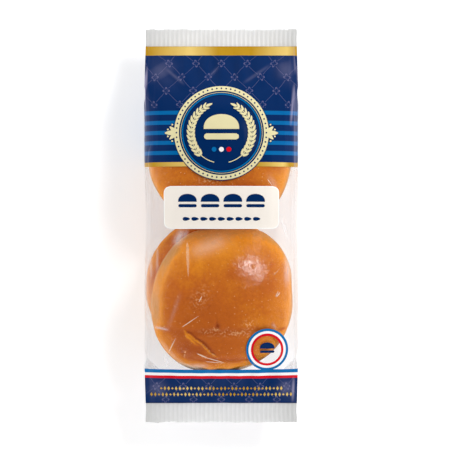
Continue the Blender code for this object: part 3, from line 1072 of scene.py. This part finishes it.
def film_haze_and_glare(points):
    """How milky the film is painted: patches above, partly its own haze and partly painted glare and light
    over shade, painted highlight streaks down both flanks, and printed folds painted pale, partly whitened
    film and partly a painted highlight.
    """
    spots = points[:, :2]
    upper = smooth_step(0.030, 0.046, points[:, 2])
    haze_and_glare = np.zeros(len(points))
    for path, reach, strength in MISTS_AND_GLARES:
        haze_and_glare += strength * upper * path_press(spots, path, reach)
    # Painted highlight streaks down both flanks
    flank = smooth_step(STREAK_FROM, STREAK_FULL, np.abs(spots[:, 0]))
    fine = perlin(points, (620, 9, 90), (4.0, 2.0, 8.0))
    broad = perlin(points, (230, 16, 60), (1.0, 6.0, 3.0))
    haze_and_glare += flank * STREAK_HIGHLIGHT * np.clip(0.35 + 1.3 * fine + 0.9 * broad, 0, 2)
    # Printed fold edges painted pale, partly whitened film and partly a painted highlight
    inked = spots[:, 1] > CLEAR_TOP
    above = points[:, 2] - fold_level(spots[:, 1], True)
    edge = smooth_step(FOLD_WHITE_FROM, FOLD_WHITE_FULL, np.abs(spots[:, 0]))
    edge = edge * smooth_step(-0.005, -0.0005, above)
    ridges = np.clip(0.30 + 2.2 * fine + 0.8 * broad, 0, 1)
    return np.clip(haze_and_glare + inked * edge * FOLD_WHITE_HIGHLIGHT * ridges, 0, FOLD_WHITE_HIGHLIGHT)


def make_creases(tree, m):
    """The whitened lines of the film's sharp folds, also painted glints, as thin slivers laid on it."""
    for name, rows in (("creases_bright", BRIGHT_CREASES), ("creases_faint", FAINT_CREASES)):
        slivers = []
        for start, end, width in rows:
            run = Vector(end) - Vector(start)
            middle = ((start[0] + end[0]) / 2, (start[1] + end[1]) / 2)
            slivers.append(grain_mesh(middle, run.length, width, math.atan2(run.y, run.x), 20))
        piece = print_piece(name, tree, *merged(slivers), m[name], PRINT_LIFT)


def top_relief(x, y):
    """What the loose film adds to the taut form, as in the bag's source, with the finer folds."""
    flank = 1 - (x / (PACK_WIDTH / 2)) ** 4
    relief = -DIP_DEPTH * flank * np.exp(-((y / DIP_SPREAD) ** 2))
    relief = relief + pleats(x, y)
    for side in (-1, 1):
        relief += crease(x, y, (side * 0.026, -0.094), (side * 0.050, -0.120), 0.006)
        relief += crease(x, y, (side * 0.026, 0.092), (side * 0.050, 0.121), 0.006)
    relief += crease(x, y, (-0.046, -0.072), (-0.020, -0.098), 0.005)
    for start, end, _ in BRIGHT_CREASES + FAINT_CREASES:
        relief += crease(x, y, start, end, CREASE_RIDGE_WIDTH, -CREASE_RIDGE)
    return relief


def streaks(x, y, seed):
    """Faint lengthwise unevenness of the stretched film."""
    spots = np.stack([x.ravel(), y.ravel(), np.full(x.size, seed)], axis=1)
    fine = perlin(spots, (330, 22, 1), (3.0, 9.0, seed))
    broad = perlin(spots, (90, 30, 1), (1.0, 4.0, seed))
    return (0.00022 * fine + 0.0005 * broad).reshape(x.shape)


def panel(skin, buns, ys, columns, upper):
    """The top or bottom of the film as arrays of X, Y and Z, one row for each station."""
    steps = np.linspace(-1, 1, columns + 1)
    spread = 0.55 * steps + 0.45 * np.sin(math.pi / 2 * steps)
    x = half_width(ys)[:, None] * spread[None, :]
    y = np.repeat(ys[:, None], columns + 1, axis=1)
    edge = np.repeat(fold_level(ys, upper)[:, None], columns + 1, axis=1)
    z = height_map(skin, x * RAY_INSET, y * RAY_INSET, upper, edge)
    gap = FILM_GAP * (1 - end_share(y))
    z = z + gap if upper else np.maximum(FILM_FLOOR_GAP, z - gap)
    z[:, 0] = z[:, -1] = fold_level(ys, upper)
    z = blurred(z, TAUT_BLUR)
    inner = 1 - np.abs(spread[None, :]) ** 12
    if upper:
        z += (top_relief(x, y) + streaks(x, y, 0.3)) * inner
        rest = height_map(buns, x, y, True, np.full(x.shape, -1.0)) + FILM_CLEARANCE
        z = blurred(np.maximum(z, rest), 2)
        z = np.maximum(z, rest)
    else:
        z -= (0.6 * pleats(x, y) + streaks(x, y, 5.1)) * inner
        rest = height_map(buns, x, y, False, np.full(x.shape, 1.0)) - FILM_CLEARANCE
        z = np.maximum(np.minimum(z, rest), FILM_FLOOR_GAP)
    return x, y, z


def tuck_depth(y):
    line = np.where(y > 0, HEAD_LINE, -FOOT_LINE)
    opening = smooth_step(TUCK_START, mix(TUCK_START, line, 0.8), np.abs(y))
    closing = 1 - smooth_step(mix(TUCK_START, line, 0.86), line, np.abs(y))
    return TUCK_DEPTH * opening * closing


def side_points(top, bottom):
    """The side of the film from its upper to its lower edge, tucked in along the middle near the seals."""
    share = np.arange(1, SIDE_STEPS)[None, :] / SIDE_STEPS
    point = top[:, None, :] * (1 - share[..., None]) + bottom[:, None, :] * share[..., None]
    y = point[..., 1]
    fold = 1 - np.abs(2 * share - 1)
    bow = SIDE_BOW * np.sin(math.pi * share) * (1 - end_share(y))
    dip = SIDE_DIP * np.exp(-((y / DIP_SPREAD) ** 2))
    wave = streaks(point[..., 2], y, 8.0 + np.sign(top[0, 0])) * np.sin(math.pi * share)
    reach = np.abs(point[..., 0]) - tuck_depth(y) * fold + bow - dip + wave
    point[..., 0] = np.sign(point[..., 0]) * reach
    return point


def rounded(sections, edges):
    """Rounds the body's four long edges, which are sharp folds only near the seals."""
    soft = 0.5 * (1 - smooth_step(SHARP_FROM, SHARP_ALL, np.abs(sections[:, :1, 1:2])))
    count = sections.shape[1]
    near = np.zeros((1, count, 1))
    for edge in edges:
        for step in range(-ROUND_REACH, ROUND_REACH + 1):
            near[0, (edge + step) % count, 0] = 1.0
    for _ in range(ROUND_TURNS):
        mean = (np.roll(sections, 1, axis=1) + np.roll(sections, -1, axis=1)) / 2
        sections = sections + (mean - sections) * soft * near
    return sections


def clear_of_buns(sections, buns):
    """Moves the flanks of the film out sideways wherever a bun would reach them."""
    flat = sections.reshape(-1, 3).copy()
    for k, (x, y, z) in enumerate(flat):
        if abs(x) < FLANK_FROM:
            continue
        side = math.copysign(1.0, x)
        hit = buns.ray_cast(Vector((side, y, z)), Vector((-side, 0, 0)))[0]
        if hit is not None and hit.x * side > 0:
            flat[k, 0] = side * max(abs(x), abs(hit.x) + FILM_CLEARANCE)
    return flat.reshape(sections.shape)


def push_off(flat, shapes):
    """Moves each low film point that lies in a bun out of it, and tells which ones moved."""
    moved = np.zeros(len(flat), bool)
    for tree, low, high, middle in shapes:
        near = np.all((flat > low - FILM_GAP) & (flat < high + FILM_GAP), axis=1)
        near &= flat[:, 2] < PUSH_BELOW
        for k in np.flatnonzero(near):
            spot = Vector(flat[k])
            point, normal, _, _ = tree.find_nearest(spot)
            if normal.dot(point - middle) < 0:
                normal = -normal
            if (spot - point).dot(normal) < UNDER_CLEARANCE:
                flat[k] = point + normal * UNDER_CLEARANCE
                moved[k] = True
    flat[:, 2] = np.maximum(flat[:, 2], FILM_FLOOR_GAP)
    return moved


def off_the_buns(sections, buns):
    """Draws the lower part of the film smoothly round the buns."""
    shapes = []
    for bun in buns:
        spots = np.array([v.co for v in bun.data.vertices])
        middle = Vector(spots.mean(axis=0))
        shapes.append((surface_tree([bun]), spots.min(axis=0), spots.max(axis=0), middle))
    near = np.zeros(sections.shape[:2])
    for _ in range(PUSH_TURNS):
        mean = (np.roll(sections, 1, axis=1) + np.roll(sections, -1, axis=1)) / 2
        flat = (sections + 0.5 * near[..., None] * (mean - sections)).reshape(-1, 3)
        moved = push_off(flat, shapes).reshape(near.shape)
        sections = flat.reshape(sections.shape)
        for step in (-2, -1, 0, 1, 2):
            near = np.maximum(near, np.roll(moved, step, axis=1))
    return sections


def side_depths(counts, columns):
    """How far down the side each column of the film lies: 0 on the shown side, 1 on the underside."""
    depths = np.ones(columns)
    depths[counts[0] : counts[1]] = np.linspace(1, 0, counts[1] - counts[0])
    depths[counts[1] : counts[2]] = 0.0
    depths[counts[2] : counts[3]] = np.linspace(0, 1, counts[3] - counts[2])
    return depths


def make_film(buns, materials):
    """The closed tube of film, with its flat map: across from the middle of the front, and along Y."""
    ys, names = stations()
    skin = taut_skin(buns)
    solid_buns = surface_tree(buns)
    top = np.stack(panel(skin, solid_buns, ys, TOP_COLUMNS, True), axis=-1)
    bottom = np.stack(panel(skin, solid_buns, ys, TOP_COLUMNS // 2, False), axis=-1)
    right = side_points(top[:, -1], bottom[:, -1])
    left = side_points(top[:, 0], bottom[:, 0])
    middle = bottom.shape[1] // 2
    parts = [bottom[:, middle:], right[:, ::-1], top[:, ::-1], left, bottom[:, :middle]]
    sections = np.concatenate(parts, axis=1)
    counts = np.cumsum([part.shape[1] for part in parts])
    sections = rounded(sections, [counts[0] - 1, counts[1], counts[2] - 1, counts[3]])
    sections = off_the_buns(clear_of_buns(sections, solid_buns), buns)
    rows, columns = sections.shape[:2]
    faces = grid_faces(rows, columns, closed=True)
    order = [*dict.fromkeys(names), "film_back"]
    depths = side_depths(counts, columns)
    film = new_object("film", sections.reshape(-1, 3), faces, [materials[name] for name in order])
    for i, face in enumerate(film.data.polygons):
        row, column = divmod(i, columns)
        middle_y = (ys[row] + ys[row + 1]) / 2
        name = field_at(middle_y * mix(1.0, UNDER_SPREAD, depths[column]))
        back = name == "film_clear" and depths[column] > 0.6
        face.material_index = order.index("film_back" if back else name)
    steps = np.linalg.norm(np.roll(sections, -1, axis=1) - sections, axis=2)
    run = np.concatenate([np.zeros((rows, 1)), np.cumsum(steps, axis=1)], axis=1)
    centre = counts[1] + TOP_COLUMNS // 2
    run = run[:, centre : centre + 1] - run
    flat = film.data.uv_layers.new(name="flat")
    uvs = np.empty((len(faces) * 4, 2), np.float32)
    for f in range(len(faces)):
        i, j = divmod(f, columns)
        corners = ((i, j), (i, j + 1), (i + 1, j + 1), (i + 1, j))
        for c, (a, b) in enumerate(corners):
            uvs[4 * f + c] = (run[a, b], ys[a])
    flat.data.foreach_set("uv", uvs.ravel())
    # Painted glare and light over shade, with the film's own haze
    paint(film, "haze_and_glare", film_haze_and_glare(sections.reshape(-1, 3)))
    film.data.flip_normals()
    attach(film, BODY)
    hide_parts("bag")
    return film


def make_seal(name, start, end, material, seed):
    """A ribbed end seal: soft ribs across, a slight bow along, and an uneven cut edge."""
    columns = SEAL_RIBS * 8
    rows = 12
    outer_is_end = abs(end) > abs(start)
    points = []
    for i in range(rows + 1):
        for j in range(columns + 1):
            across = 2 * j / columns - 1
            share = i / rows
            out = share if outer_is_end else 1 - share
            ragged = 0.0005 * noise.noise(Vector((across * 9, seed, 0)))
            ragged += 0.0002 * noise.noise(Vector((across * 40, seed, 1)))
            y = mix(start, end, share) + ragged * out * 1.6
            narrow = 1 - 0.006 * math.sin(math.pi * min(1.0, out * 1.3)) * (1 if seed < 5 else 0.6)
            x = across * SEAL_WIDTH / 2 * narrow
            rib = SEAL_RIB_HEIGHT * math.sin(2 * math.pi * SEAL_RIBS * (j / columns))
            rib *= math.sin(math.pi * min(1.0, 0.12 + 0.9 * share)) ** 0.4
            bow = 0.0007 * noise.noise(Vector((across * 2.1, out, seed))) * out
            points.append((x, y, SEAL_LEVEL + rib + bow))
    faces = grid_faces(rows + 1, columns + 1)
    seal = new_object(name, points, faces, [material])
    thick = seal.modifiers.new("layers", "SOLIDIFY")
    thick.thickness = SEAL_THICKNESS
    thick.offset = 0.0
    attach(seal, BODY)
    return seal


# Print laid on the film


def lay_on(tree, spots, upper=True, lift=PRINT_LIFT):
    """Plan spots dropped on the film and lifted off it by a hair along its normal."""
    side = 1.0 if upper else -1.0
    laid = []
    for x, y in spots:
        point, normal = cast(tree, x, y, upper)
        if point is None:
            point, normal = Vector((x, y, SEAL_LEVEL)), Vector((0, 0, side))
        if normal.z * side < 0:
            normal = -normal
        laid.append(point + normal * lift)
    return laid


def refined(spots, faces, longest=0.0010):
    """The plan mesh cut until no edge is too long to follow the film."""
    mesh = bmesh.new()
    verts = [mesh.verts.new((x, y, 0)) for x, y in spots]
    for face in faces:
        if len(set(face)) > 2:
            mesh.faces.new([verts[k] for k in dict.fromkeys(face)])
    for _ in range(6):
        long_edges = [edge for edge in mesh.edges if edge.calc_length() > longest]
        if not long_edges:
            break
        bmesh.ops.subdivide_edges(mesh, edges=long_edges, cuts=1, use_grid_fill=True)
        bmesh.ops.triangulate(mesh, faces=[face for face in mesh.faces if len(face.verts) > 4])
    mesh.verts.index_update()
    spots = [(v.co.x, v.co.y) for v in mesh.verts]
    faces = [tuple(v.index for v in face.verts) for face in mesh.faces]
    mesh.free()
    return spots, faces


def print_piece(name, tree, spots, faces, material, lift=PRINT_LIFT):
    """A printed shape on the shown side, cut finely enough to follow the film."""
    return laid_piece(name, tree, *refined(spots, faces), material, True, lift)


def laid_piece(name, tree, spots, faces, material, upper, lift):
    """A plan mesh laid on the film, with the film's flat map."""
    obj = new_object(name, lay_on(tree, spots, upper, lift), faces, [material])
    flat = obj.data.uv_layers.new(name="flat")
    spots = np.array(spots)
    ends = np.empty(len(obj.data.loops), np.int32)
    obj.data.loops.foreach_get("vertex_index", ends)
    flat.data.foreach_set("uv", spots[ends].astype(np.float32).ravel())
    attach(obj, BODY)
    return obj


def ring_mesh(middle, inner, outer, sides=220, step=0.0009):
    """A flat ring, or a disc where inner is 0."""
    rows = max(1, math.ceil((outer - inner) / step))
    spots = []
    faces = []
    for i in range(rows + 1):
        radius = mix(inner, outer, i / rows)
        for j in range(sides):
            angle = 2 * math.pi * j / sides
            spots.append(on_circle(middle, radius, angle))
    for i in range(rows):
        for j in range(sides):
            after = (j + 1) % sides
            faces.append((i * sides + j, (i + 1) * sides + j, (i + 1) * sides + after, i * sides + after))
    return spots, faces


def plate_mesh(middle, size, corner, step=0.0010):
    """A rectangle with rounded corners, as rows whose ends follow the corner arcs."""
    rows = math.ceil(size[1] / step)
    columns = math.ceil(size[0] / step)
    spots = []
    for i in range(rows + 1):
        share = 2 * i / rows - 1
        v = size[1] / 2 * math.sin(math.pi / 2 * share) * 0.35 + size[1] / 2 * share * 0.65
        into = max(0.0, abs(v) - (size[1] / 2 - corner))
        reach = size[0] / 2 - corner + math.sqrt(max(0.0, corner**2 - into**2))
        for j in range(columns + 1):
            spots.append((middle[0] + reach * (2 * j / columns - 1), middle[1] + v))
    return spots, grid_faces(rows + 1, columns + 1)


def merged(shapes):
    """Several plan meshes as one."""
    spots = []
    faces = []
    for more_spots, more_faces in shapes:
        base = len(spots)
        spots.extend(more_spots)
        faces.extend(tuple(base + k for k in face) for face in more_faces)
    return spots, faces


def grain_mesh(middle, length, width, angle, sides=14):
    """A pointed oval, such as a grain of wheat or a leaf."""
    spots = [middle]
    c, s = math.cos(angle), math.sin(angle)
    for k in range(sides):
        turn = 2 * math.pi * k / sides
        u = length / 2 * math.cos(turn)
        v = width / 2 * math.sin(turn) * (1 - 0.35 * math.cos(turn))
        spots.append((middle[0] + u * c - v * s, middle[1] + u * s + v * c))
    faces = [(0, 1 + k, 1 + (k + 1) % sides) for k in range(sides)]
    return spots, faces


def wheat_arc(middle, radius, start, end, grain):
    """An ear of wheat bent round a circle: a stalk with pairs of grains and one at its tip."""
    shapes = []
    turn = 1.0 if end > start else -1.0
    count = round(abs(end - start) * radius / (grain * 0.62))
    for k in range(count + 1):
        angle = mix(start, end, k / count)
        if k < 4:
            continue
        size = grain * (0.82 + 0.18 * math.sin(math.pi * k / count))
        for side in (-1, 1):
            lean = angle + turn * math.pi / 2 - side * turn * 0.50
            spot = on_circle(middle, radius + side * size * 0.34, angle)
            shapes.append(grain_mesh(spot, size, size * 0.36, lean))
    tip = end + turn * grain * 0.55 / radius
    spot = on_circle(middle, radius, tip)
    shapes.append(grain_mesh(spot, grain, grain * 0.36, tip + turn * math.pi / 2))
    stalk = [on_circle(middle, radius, mix(start, end, k / 24)) for k in range(25)]
    shapes.append(line_mesh(stalk, grain * 0.11))
    return merged(shapes)


def leaf_spray(base, angle, leaf, fatter=0.0):
    """Five leaves fanned out from one point, with a berry in each gap."""
    shapes = []
    for turn, size in ((0.0, 1.25), (-0.75, 1.0), (0.75, 1.0), (-1.45, 0.72), (1.45, 0.72)):
        lean = angle + turn
        spot = on_circle(base, leaf * size * 0.55, lean)
        shapes.append(grain_mesh(spot, leaf * size + fatter, leaf * size * 0.42 + fatter, lean))
    for turn in (-0.38, 0.38, -1.10, 1.10):
        lean = angle + turn
        spot = on_circle(base, leaf * 1.02, lean)
        shapes.append(grain_mesh(spot, leaf * 0.20 + fatter, leaf * 0.20 + fatter, 0.0))
    return merged(shapes)


def line_mesh(path, width):
    """A thin band along a path."""
    spots = []
    for k, (x, y) in enumerate(path):
        before = path[max(0, k - 1)]
        after = path[min(len(path) - 1, k + 1)]
        run = Vector(after) - Vector(before)
        run.normalize()
        spots.append((x - run.y * width / 2, y + run.x * width / 2))
        spots.append((x + run.y * width / 2, y - run.x * width / 2))
    faces = [(2 * k, 2 * k + 1, 2 * k + 3, 2 * k + 2) for k in range(len(path) - 1)]
    return spots, faces


def bun_icon(middle, width):
    """A plain bun sign: a dome over a low heel with rounded ends."""
    x0, y0 = middle
    sides = 24
    gap = width * 0.07
    dome = [(x0, y0 + gap + width * 0.12)]
    for k in range(sides + 1):
        turn = math.pi * k / sides
        dome.append((x0 + width / 2 * math.cos(turn), y0 + gap + width * 0.42 * math.sin(turn) ** 0.8))
    faces = [(0, 1 + k, 2 + k) for k in range(sides)]
    faces.append((0, sides + 1, 1))
    low = (x0, y0 - gap - width * 0.07)
    heel = plate_mesh(low, (width * 0.98, width * 0.17), width * 0.07, width * 0.05)
    return merged([(dome, faces), heel])


def make_badge(tree, m):
    """A navy disc with a beaded ring, leaf sprays, two ears of wheat, a bun sign and three beads."""
    x0, y0 = BADGE_MIDDLE
    inner = BADGE_RADIUS - BADGE_RING
    navy = m["print_plain_navy"]
    cream = m["print_cream"]
    out = BADGE_RADIUS - LEAF_INSET
    sprays = [((x0 - out, y0), math.pi), ((x0 + out, y0), 0.0)]
    backs = [leaf_spray(base, angle, LEAF_LENGTH, LEAF_EDGE) for base, angle in sprays]
    backs.append(ring_mesh(BADGE_MIDDLE, 0.0, BADGE_RADIUS + DISC_EDGE))
    print_piece("badge_disc", tree, *merged(backs), navy)
    fronts = [leaf_spray(base, angle, LEAF_LENGTH) for base, angle in sprays]
    print_piece("badge_leaves", tree, *merged(fronts), cream, PRINT_LIFT * 2)
    lift = PRINT_LIFT * 3
    print_piece("badge_ring", tree, *ring_mesh(BADGE_MIDDLE, inner, BADGE_RADIUS), cream, lift)
    beads = []
    for k in range(RING_BEADS):
        spot = on_circle(BADGE_MIDDLE, BADGE_RADIUS - BADGE_RING / 2, 2 * math.pi * k / RING_BEADS)
        beads.append(grain_mesh(spot, RING_BEAD, RING_BEAD, 0.0, 10))
    print_piece("badge_beads", tree, *merged(beads), navy, PRINT_LIFT * 4)
    line = ring_mesh(BADGE_MIDDLE, inner - 0.0014, inner - 0.0011)
    print_piece("badge_line", tree, *line, cream, lift)
    hoop = ring_mesh(BADGE_MIDDLE, inner - 0.0030, inner - 0.0020)
    print_piece("badge_hoop", tree, *hoop, m["print_sky"], lift)
    ears = []
    for side in (-1, 1):
        start = -math.pi / 2 + side * 0.24
        end = -math.pi / 2 + side * 2.60
        ears.append(wheat_arc(BADGE_MIDDLE, WHEAT_RADIUS, start, end, WHEAT_GRAIN))
    ears.append(bun_icon((x0, y0 + 0.0008), BADGE_SIGN))
    print_piece("badge_wheat", tree, *merged(ears), cream, lift)
    for k, ink in enumerate(("print_blue", "print_white", "print_red")):
        spot = (x0 + (k - 1) * BADGE_BEAD_PITCH, y0 - BADGE_BEAD_DROP)
        bead = ring_mesh(spot, 0.0, BADGE_BEAD, 40)
        print_piece("badge_bead_" + ink[6:], tree, *bead, m[ink], lift)


def make_label(tree, m):
    """The cream label with a white rim, four plain bun signs and a row of grains."""
    x0, y0 = LABEL_MIDDLE
    rim_size = (LABEL_SIZE[0] + 2 * LABEL_EDGE, LABEL_SIZE[1] + 2 * LABEL_EDGE)
    rim = plate_mesh(LABEL_MIDDLE, rim_size, LABEL_CORNER + LABEL_EDGE)
    rim = print_piece("label_rim", tree, *rim, m["print_rim"])
    body = plate_mesh(LABEL_MIDDLE, LABEL_SIZE, LABEL_CORNER)
    body = print_piece("label", tree, *body, m["print_label"], PRINT_LIFT * 2)
    signs = [bun_icon((x0 + (k - 1.5) * SIGN_PITCH, y0 + SIGN_RISE), SIGN_WIDTH) for k in range(4)]
    for k in range(9):
        spot = (x0 + (k - 4) * GRAIN_PITCH, y0 - GRAIN_DROP)
        signs.append(grain_mesh(spot, *GRAIN_SIZE, 0.0, 20))
    signs = print_piece("label_signs", tree, *merged(signs), m["print_plain_navy"], PRINT_LIFT * 3)
    for piece in (rim, body, signs):
        piece.visible_shadow = False


def make_rosette(tree, m):
    """Three rings of blue, white and red round a clear middle with a bun sign."""
    for k, ink in enumerate(("print_blue", "print_white", "print_red")):
        outer = ROSETTE_RADIUS - k * ROSETTE_RING
        ring = ring_mesh(ROSETTE_MIDDLE, outer - ROSETTE_RING, outer, 160, 0.0006)
        print_piece("rosette_" + ink[6:], tree, *ring, m[ink])
    sign = bun_icon(ROSETTE_MIDDLE, ROSETTE_SIGN)
    print_piece("rosette_sign", tree, *sign, m["print_plain_navy"])


def make_foot_trim(tree, m):
    """Two close rows of small gold lozenges on the navy foot."""
    lozenges = []
    for row, (level, width) in enumerate(TRIM_ROWS):
        count = round(width / TRIM_PITCH)
        for k in range(count):
            x = (k / (count - 1) - 0.5) * width
            tall = TRIM_TALL if (k + row) % 3 else TRIM_SHORT
            lozenges.append(grain_mesh((x, level), TRIM_WIDTH, tall, 0.0, 4))
    print_piece("foot_trim", tree, *merged(lozenges), m["print_gold"])


def make_back_seam(tree, materials):
    """The flat seam of the film down the middle of the underside, printed as the film is."""
    ys, names = stations()
    columns = 8
    spots = []
    for y in ys:
        for j in range(columns + 1):
            spots.append((-SEAM_WIDTH * (1 - j / columns), y * 0.9998))
    faces = [face[::-1] for face in grid_faces(len(ys), columns + 1)]
    order = list(dict.fromkeys(names))
    seam = laid_piece("back_seam", tree, spots, faces, materials["print_white"], False, SEAM_LIFT)
    seam.data.materials.clear()
    for name in order:
        seam.data.materials.append(materials[name] if name != "film_clear" else materials["seam_milk"])
    for i, face in enumerate(seam.data.polygons):
        row = i // columns
        face.material_index = order.index(field_at((ys[row] + ys[row + 1]) / 2 * UNDER_SPREAD))
    return seam


# Stage


def make_floor():
    n = Nodes("floor_white")
    place = n.add("TexCoord").outputs["Object"]
    cloud = n.noise(place, 1.5, 2.0)
    base = n.mixed(cloud, (0.93, 0.93, 0.93), (0.95, 0.95, 0.95))
    values = {
        "Base Color": base,
        "Roughness": 0.9,
        "Emission Color": (1, 1, 1, 1),
        "Emission Strength": FLOOR_GLOW,
    }
    material = n.principled(values)
    side = FLOOR_HALF_SIDE
    corners = [(-side, -side, 0), (side, -side, 0), (side, side, 0), (-side, side, 0)]
    floor = new_object("floor", corners, [(0, 1, 2, 3)], [material], smooth=False)


def make_light(name, place, size, power, mirrored=True):
    """A soft rectangular lamp aimed at the bag. One that isn't mirrored leaves no reflection of itself."""
    data = bpy.data.lights.new(name, "AREA")
    data.shape = "RECTANGLE"
    data.size, data.size_y = size
    data.energy = power
    light = bpy.data.objects.new(name, data)
    light.location = place
    light.visible_glossy = mirrored
    light.rotation_euler = Vector(place).to_track_quat("Z", "Y").to_euler()
    bpy.context.scene.collection.objects.link(light)


def make_world():
    """Soft white light all round, dimmer overhead where the camera is."""
    world = bpy.data.worlds.new("studio")
    world.use_nodes = True
    tree = world.node_tree
    place = tree.nodes.new("ShaderNodeTexCoord")
    parts = tree.nodes.new("ShaderNodeSeparateXYZ")
    fade = tree.nodes.new("ShaderNodeMapRange")
    fade.interpolation_type = "SMOOTHSTEP"
    values = (*WORLD_FADE, WORLD_SIDE, WORLD_TOP)
    for key, value in zip(("From Min", "From Max", "To Min", "To Max"), values):
        fade.inputs[key].default_value = value
    background = tree.nodes["Background"]
    background.inputs["Color"].default_value = (1, 1, 1, 1)
    tree.links.new(place.outputs["Generated"], parts.inputs[0])
    tree.links.new(parts.outputs["Z"], fade.inputs["Value"])
    tree.links.new(fade.outputs[0], background.inputs["Strength"])
    bpy.context.scene.world = world


def make_camera():
    data = bpy.data.cameras.new("camera")
    distance = CAMERA_HEIGHT - VIEW_LEVEL
    data.sensor_width = SENSOR * 1000
    data.lens = 1000 * SENSOR * distance / (PHOTO_SIDE * METRES_PER_PIXEL)
    data.clip_end = 20.0
    camera = bpy.data.objects.new("camera", data)
    camera.location = (*VIEW_MIDDLE, CAMERA_HEIGHT)
    bpy.context.scene.collection.objects.link(camera)
    bpy.context.scene.camera = camera


def make_stage():
    make_camera()
    make_floor()
    make_light("key", (0.75, 0.70, 1.25), (0.42, 0.42), 11.0)
    make_light("side_fill", (-0.95, 0.30, 0.85), (0.9, 0.9), 1.6, mirrored=False)
    make_light("foot_fill", (-0.35, -1.25, 0.60), (0.9, 0.9), 2.8, mirrored=False)
    make_world()
    bpy.context.scene.view_settings.view_transform = "Standard"


def make_materials():
    made = [
        clear_film("film_clear", (0.962, 0.972, 0.982)),
        # The back sheet's darker tint is painted shade for the clear margins seen through the film
        clear_film("film_back", (0.875, 0.882, 0.890)),
        navy_lattice(),
        gold_band(),
        printed("print_plain_navy", NAVY),
        printed("print_sky", SKY),
        printed("print_cream", CREAM),
        printed("print_label", LABEL_CREAM, 0.30, 0.02),
        printed("print_rim", LABEL_RIM, 0.30, 0.01),
        printed("print_blue", RIBBON_BLUE),
        printed("print_white", PAPER_WHITE, 0.25, 0.02),
        printed("print_red", RIBBON_RED),
        printed("seam_milk", (0.80, 0.80, 0.80), 0.30, 0.03),
        crease_film("creases_bright", 0.66),
        crease_film("creases_faint", 0.24),
        seal_plastic(),
        crust(),
    ]
    return {material.name: material for material in made}


def main():
    make_stage()
    m = make_materials()
    buns = [make_bun(name, spec, m["crust"]) for name, spec in BUN_SPECS.items()]
    film = make_film(buns, m)
    make_seal("foot_seal", -PACK_LENGTH / 2, FOOT_LINE + SEAL_LAP, m["seal_white"], 3.7)
    make_seal("head_seal", HEAD_LINE - SEAL_LAP, PACK_LENGTH / 2, m["seal_white"], 8.2)
    tree = surface_tree([film])
    make_back_seam(tree, m)
    make_badge(tree, m)
    make_label(tree, m)
    make_rosette(tree, m)
    make_foot_trim(tree, m)
    make_creases(tree, m)


main()
